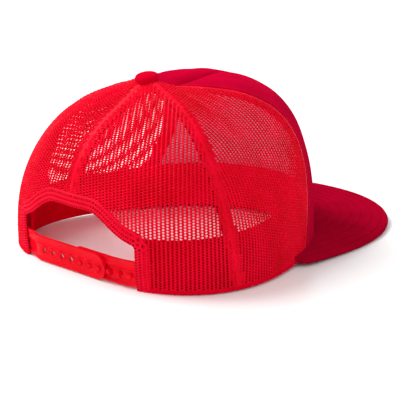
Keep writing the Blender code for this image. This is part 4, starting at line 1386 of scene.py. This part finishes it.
def add_camera():
    """The camera at the photograph's viewing angle."""
    back = np.array((math.sin(CAMERA_TURN) * math.cos(CAMERA_RISE),
                     -math.cos(CAMERA_TURN) * math.cos(CAMERA_RISE), math.sin(CAMERA_RISE)))
    right = np.array((math.cos(CAMERA_TURN), math.sin(CAMERA_TURN), 0.0))
    up = np.cross(back, right)
    place = back * CAMERA_DISTANCE + right * CAMERA_PAN[0] + up * CAMERA_PAN[1]
    tilt = Matrix.Rotation(REST_TILT, 3, "X")
    axes = Matrix([tilt @ Vector(axis) for axis in (right, up, back)]).transposed()
    data = bpy.data.cameras.new("camera")
    data.lens = CAMERA_LENS
    data.sensor_width = CAMERA_SENSOR
    camera = bpy.data.objects.new("camera", data)
    camera.matrix_world = Matrix.Translation(Vector(world(place))) @ axes.to_4x4()
    bpy.context.scene.collection.objects.link(camera)
    bpy.context.scene.camera = camera


def add_light(name, place, aim, size, power, colour):
    """A soft square light aimed at a point."""
    data = bpy.data.lights.new(name, "AREA")
    data.size = size
    data.energy = power
    data.color = colour
    light = bpy.data.objects.new(name, data)
    light.location = place
    light.rotation_euler = (Vector(aim) - Vector(place)).to_track_quat("-Z", "Y").to_euler()
    bpy.context.scene.collection.objects.link(light)


def add_studio():
    """A white floor, an even white surround, two soft lights and a faint one inside the crown."""
    mesh = bpy.data.meshes.new("studio_floor")
    turns = ((-1, -1), (1, -1), (1, 1), (-1, 1))
    corners = [(FLOOR_HALF_SIZE * x, FLOOR_HALF_SIZE * y, 0.0) for x, y in turns]
    mesh.from_pydata(corners, [], [(0, 1, 2, 3)])
    mesh.materials.append(speckled("studio_floor", **FLOOR_PAINT))
    floor = bpy.data.objects.new("studio_floor", mesh)
    floor.location.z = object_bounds()[0][2]
    bpy.context.scene.collection.objects.link(floor)
    surround = bpy.data.worlds.new("studio")
    surround.use_nodes = True
    background = surround.node_tree.nodes["Background"]
    background.inputs["Color"].default_value = (1.0, 1.0, 1.0, 1.0)
    background.inputs["Strength"].default_value = SURROUND_STRENGTH
    bpy.context.scene.world = surround
    for light in LIGHTS:
        add_light(*light)
    bpy.context.scene.view_settings.view_transform = "Standard"


# ---------------------------------------------------------------- the cap

def add_crown(mesh, tape, thread, binding, face, lining):
    """The foam front, the four mesh panels, their seam tapes, stitches and binding."""
    add_foam_panel(face, lining)
    at_back = [add_tape("back_tape", 1.0, BACK_SEAM, tape),
               add_welt("back_seam_welt", 1.0, BACK_SEAM, mesh), add_binding(binding, thread)]
    for side, name in SIDES:
        sewn = []
        for part, seam in (("front", FRONT_SEAM), ("side", SIDE_SEAM)):
            sewn += [add_tape(f"{part}_tape_{name}", side, seam, tape),
                     add_welt(f"{part}_seam_welt_{name}", side, seam, mesh)]
        sewn.append(add_rim_edge(f"rim_edge_{name}", side, tape))
        add_mesh_panel(f"side_knit_{name}", side, FRONT_SEAM, SIDE_SEAM, mesh)
        add_mesh_panel(f"back_knit_{name}", side, SIDE_SEAM, BACK_SEAM, mesh)
    for part, seam, sides in (("front", FRONT_SEAM, SIDES), ("side", SIDE_SEAM, SIDES),
                              ("back", BACK_SEAM, SIDES[:1])):
        rows = [row for side, _ in sides for row in seam_rows(side, seam)]
        add_stitches(f"{part}_seam_stitches", rows, thread)


def add_bill(cover, thread):
    """The bill's two covers and their stitches."""
    add_bill_cover("bill_upper_cloth", "bill_top_cover", False, cover)
    add_bill_cover("bill_lower_cloth", "bill_under_cover", True, cover)
    add_stitches("bill_upper_stitches", bill_stitches(False), thread)
    add_stitches("bill_lower_stitches", bill_stitches(True), thread)


def add_straps(plastic):
    """The strap with the sockets and the one with the studs."""
    sockets = [SOCKET_FIRST_X - STRAP_PITCH * index for index in range(SOCKET_COUNT)]
    studs = [STUD_FIRST_X + STRAP_PITCH * index for index in range(STUD_COUNT)]
    add_strap("socket_strap_moulding", ("socket_strap", "socket_strap_tab"),
              STRAP_TAB_X, SOCKET_END_X, sockets, plastic)
    add_strap("stud_strap_moulding", ("stud_strap", "stud_strap_tab"),
              -STRAP_TAB_X, STUD_END_X, [], plastic, studs)


def main():
    """Build the looks over the frame."""
    add_camera()
    thread = yarn("sewing_thread", **SEWING_THREAD)
    add_crown(yarn("mesh_yarn", **MESH_YARN), cloth("seam_tape_cloth", **SEAM_TAPE), thread,
              yarn("binding_knit", **BINDING_KNIT), cloth("foam_face", **FOAM_FACE),
              speckled("foam_lining", **FOAM_LINING))
    add_sweatband(cloth("sweatband_twill", **SWEATBAND_TWILL), thread)
    add_bill(cloth("bill_twill", **BILL_TWILL), yarn("bill_thread", **BILL_THREAD))
    add_button(cloth("button_cloth", **BUTTON_CLOTH))
    add_straps(speckled("strap_plastic", **STRAP_PLASTIC))
    for node, material in (("button_rivet", speckled("rivet_metal", **RIVET_METAL)),
                           ("bill_board", speckled("board_plastic", **BOARD_PLASTIC))):
        for place in frame["nodes"][node].material_slots:
            place.link = "OBJECT"
            place.material = material
    add_studio()


main()
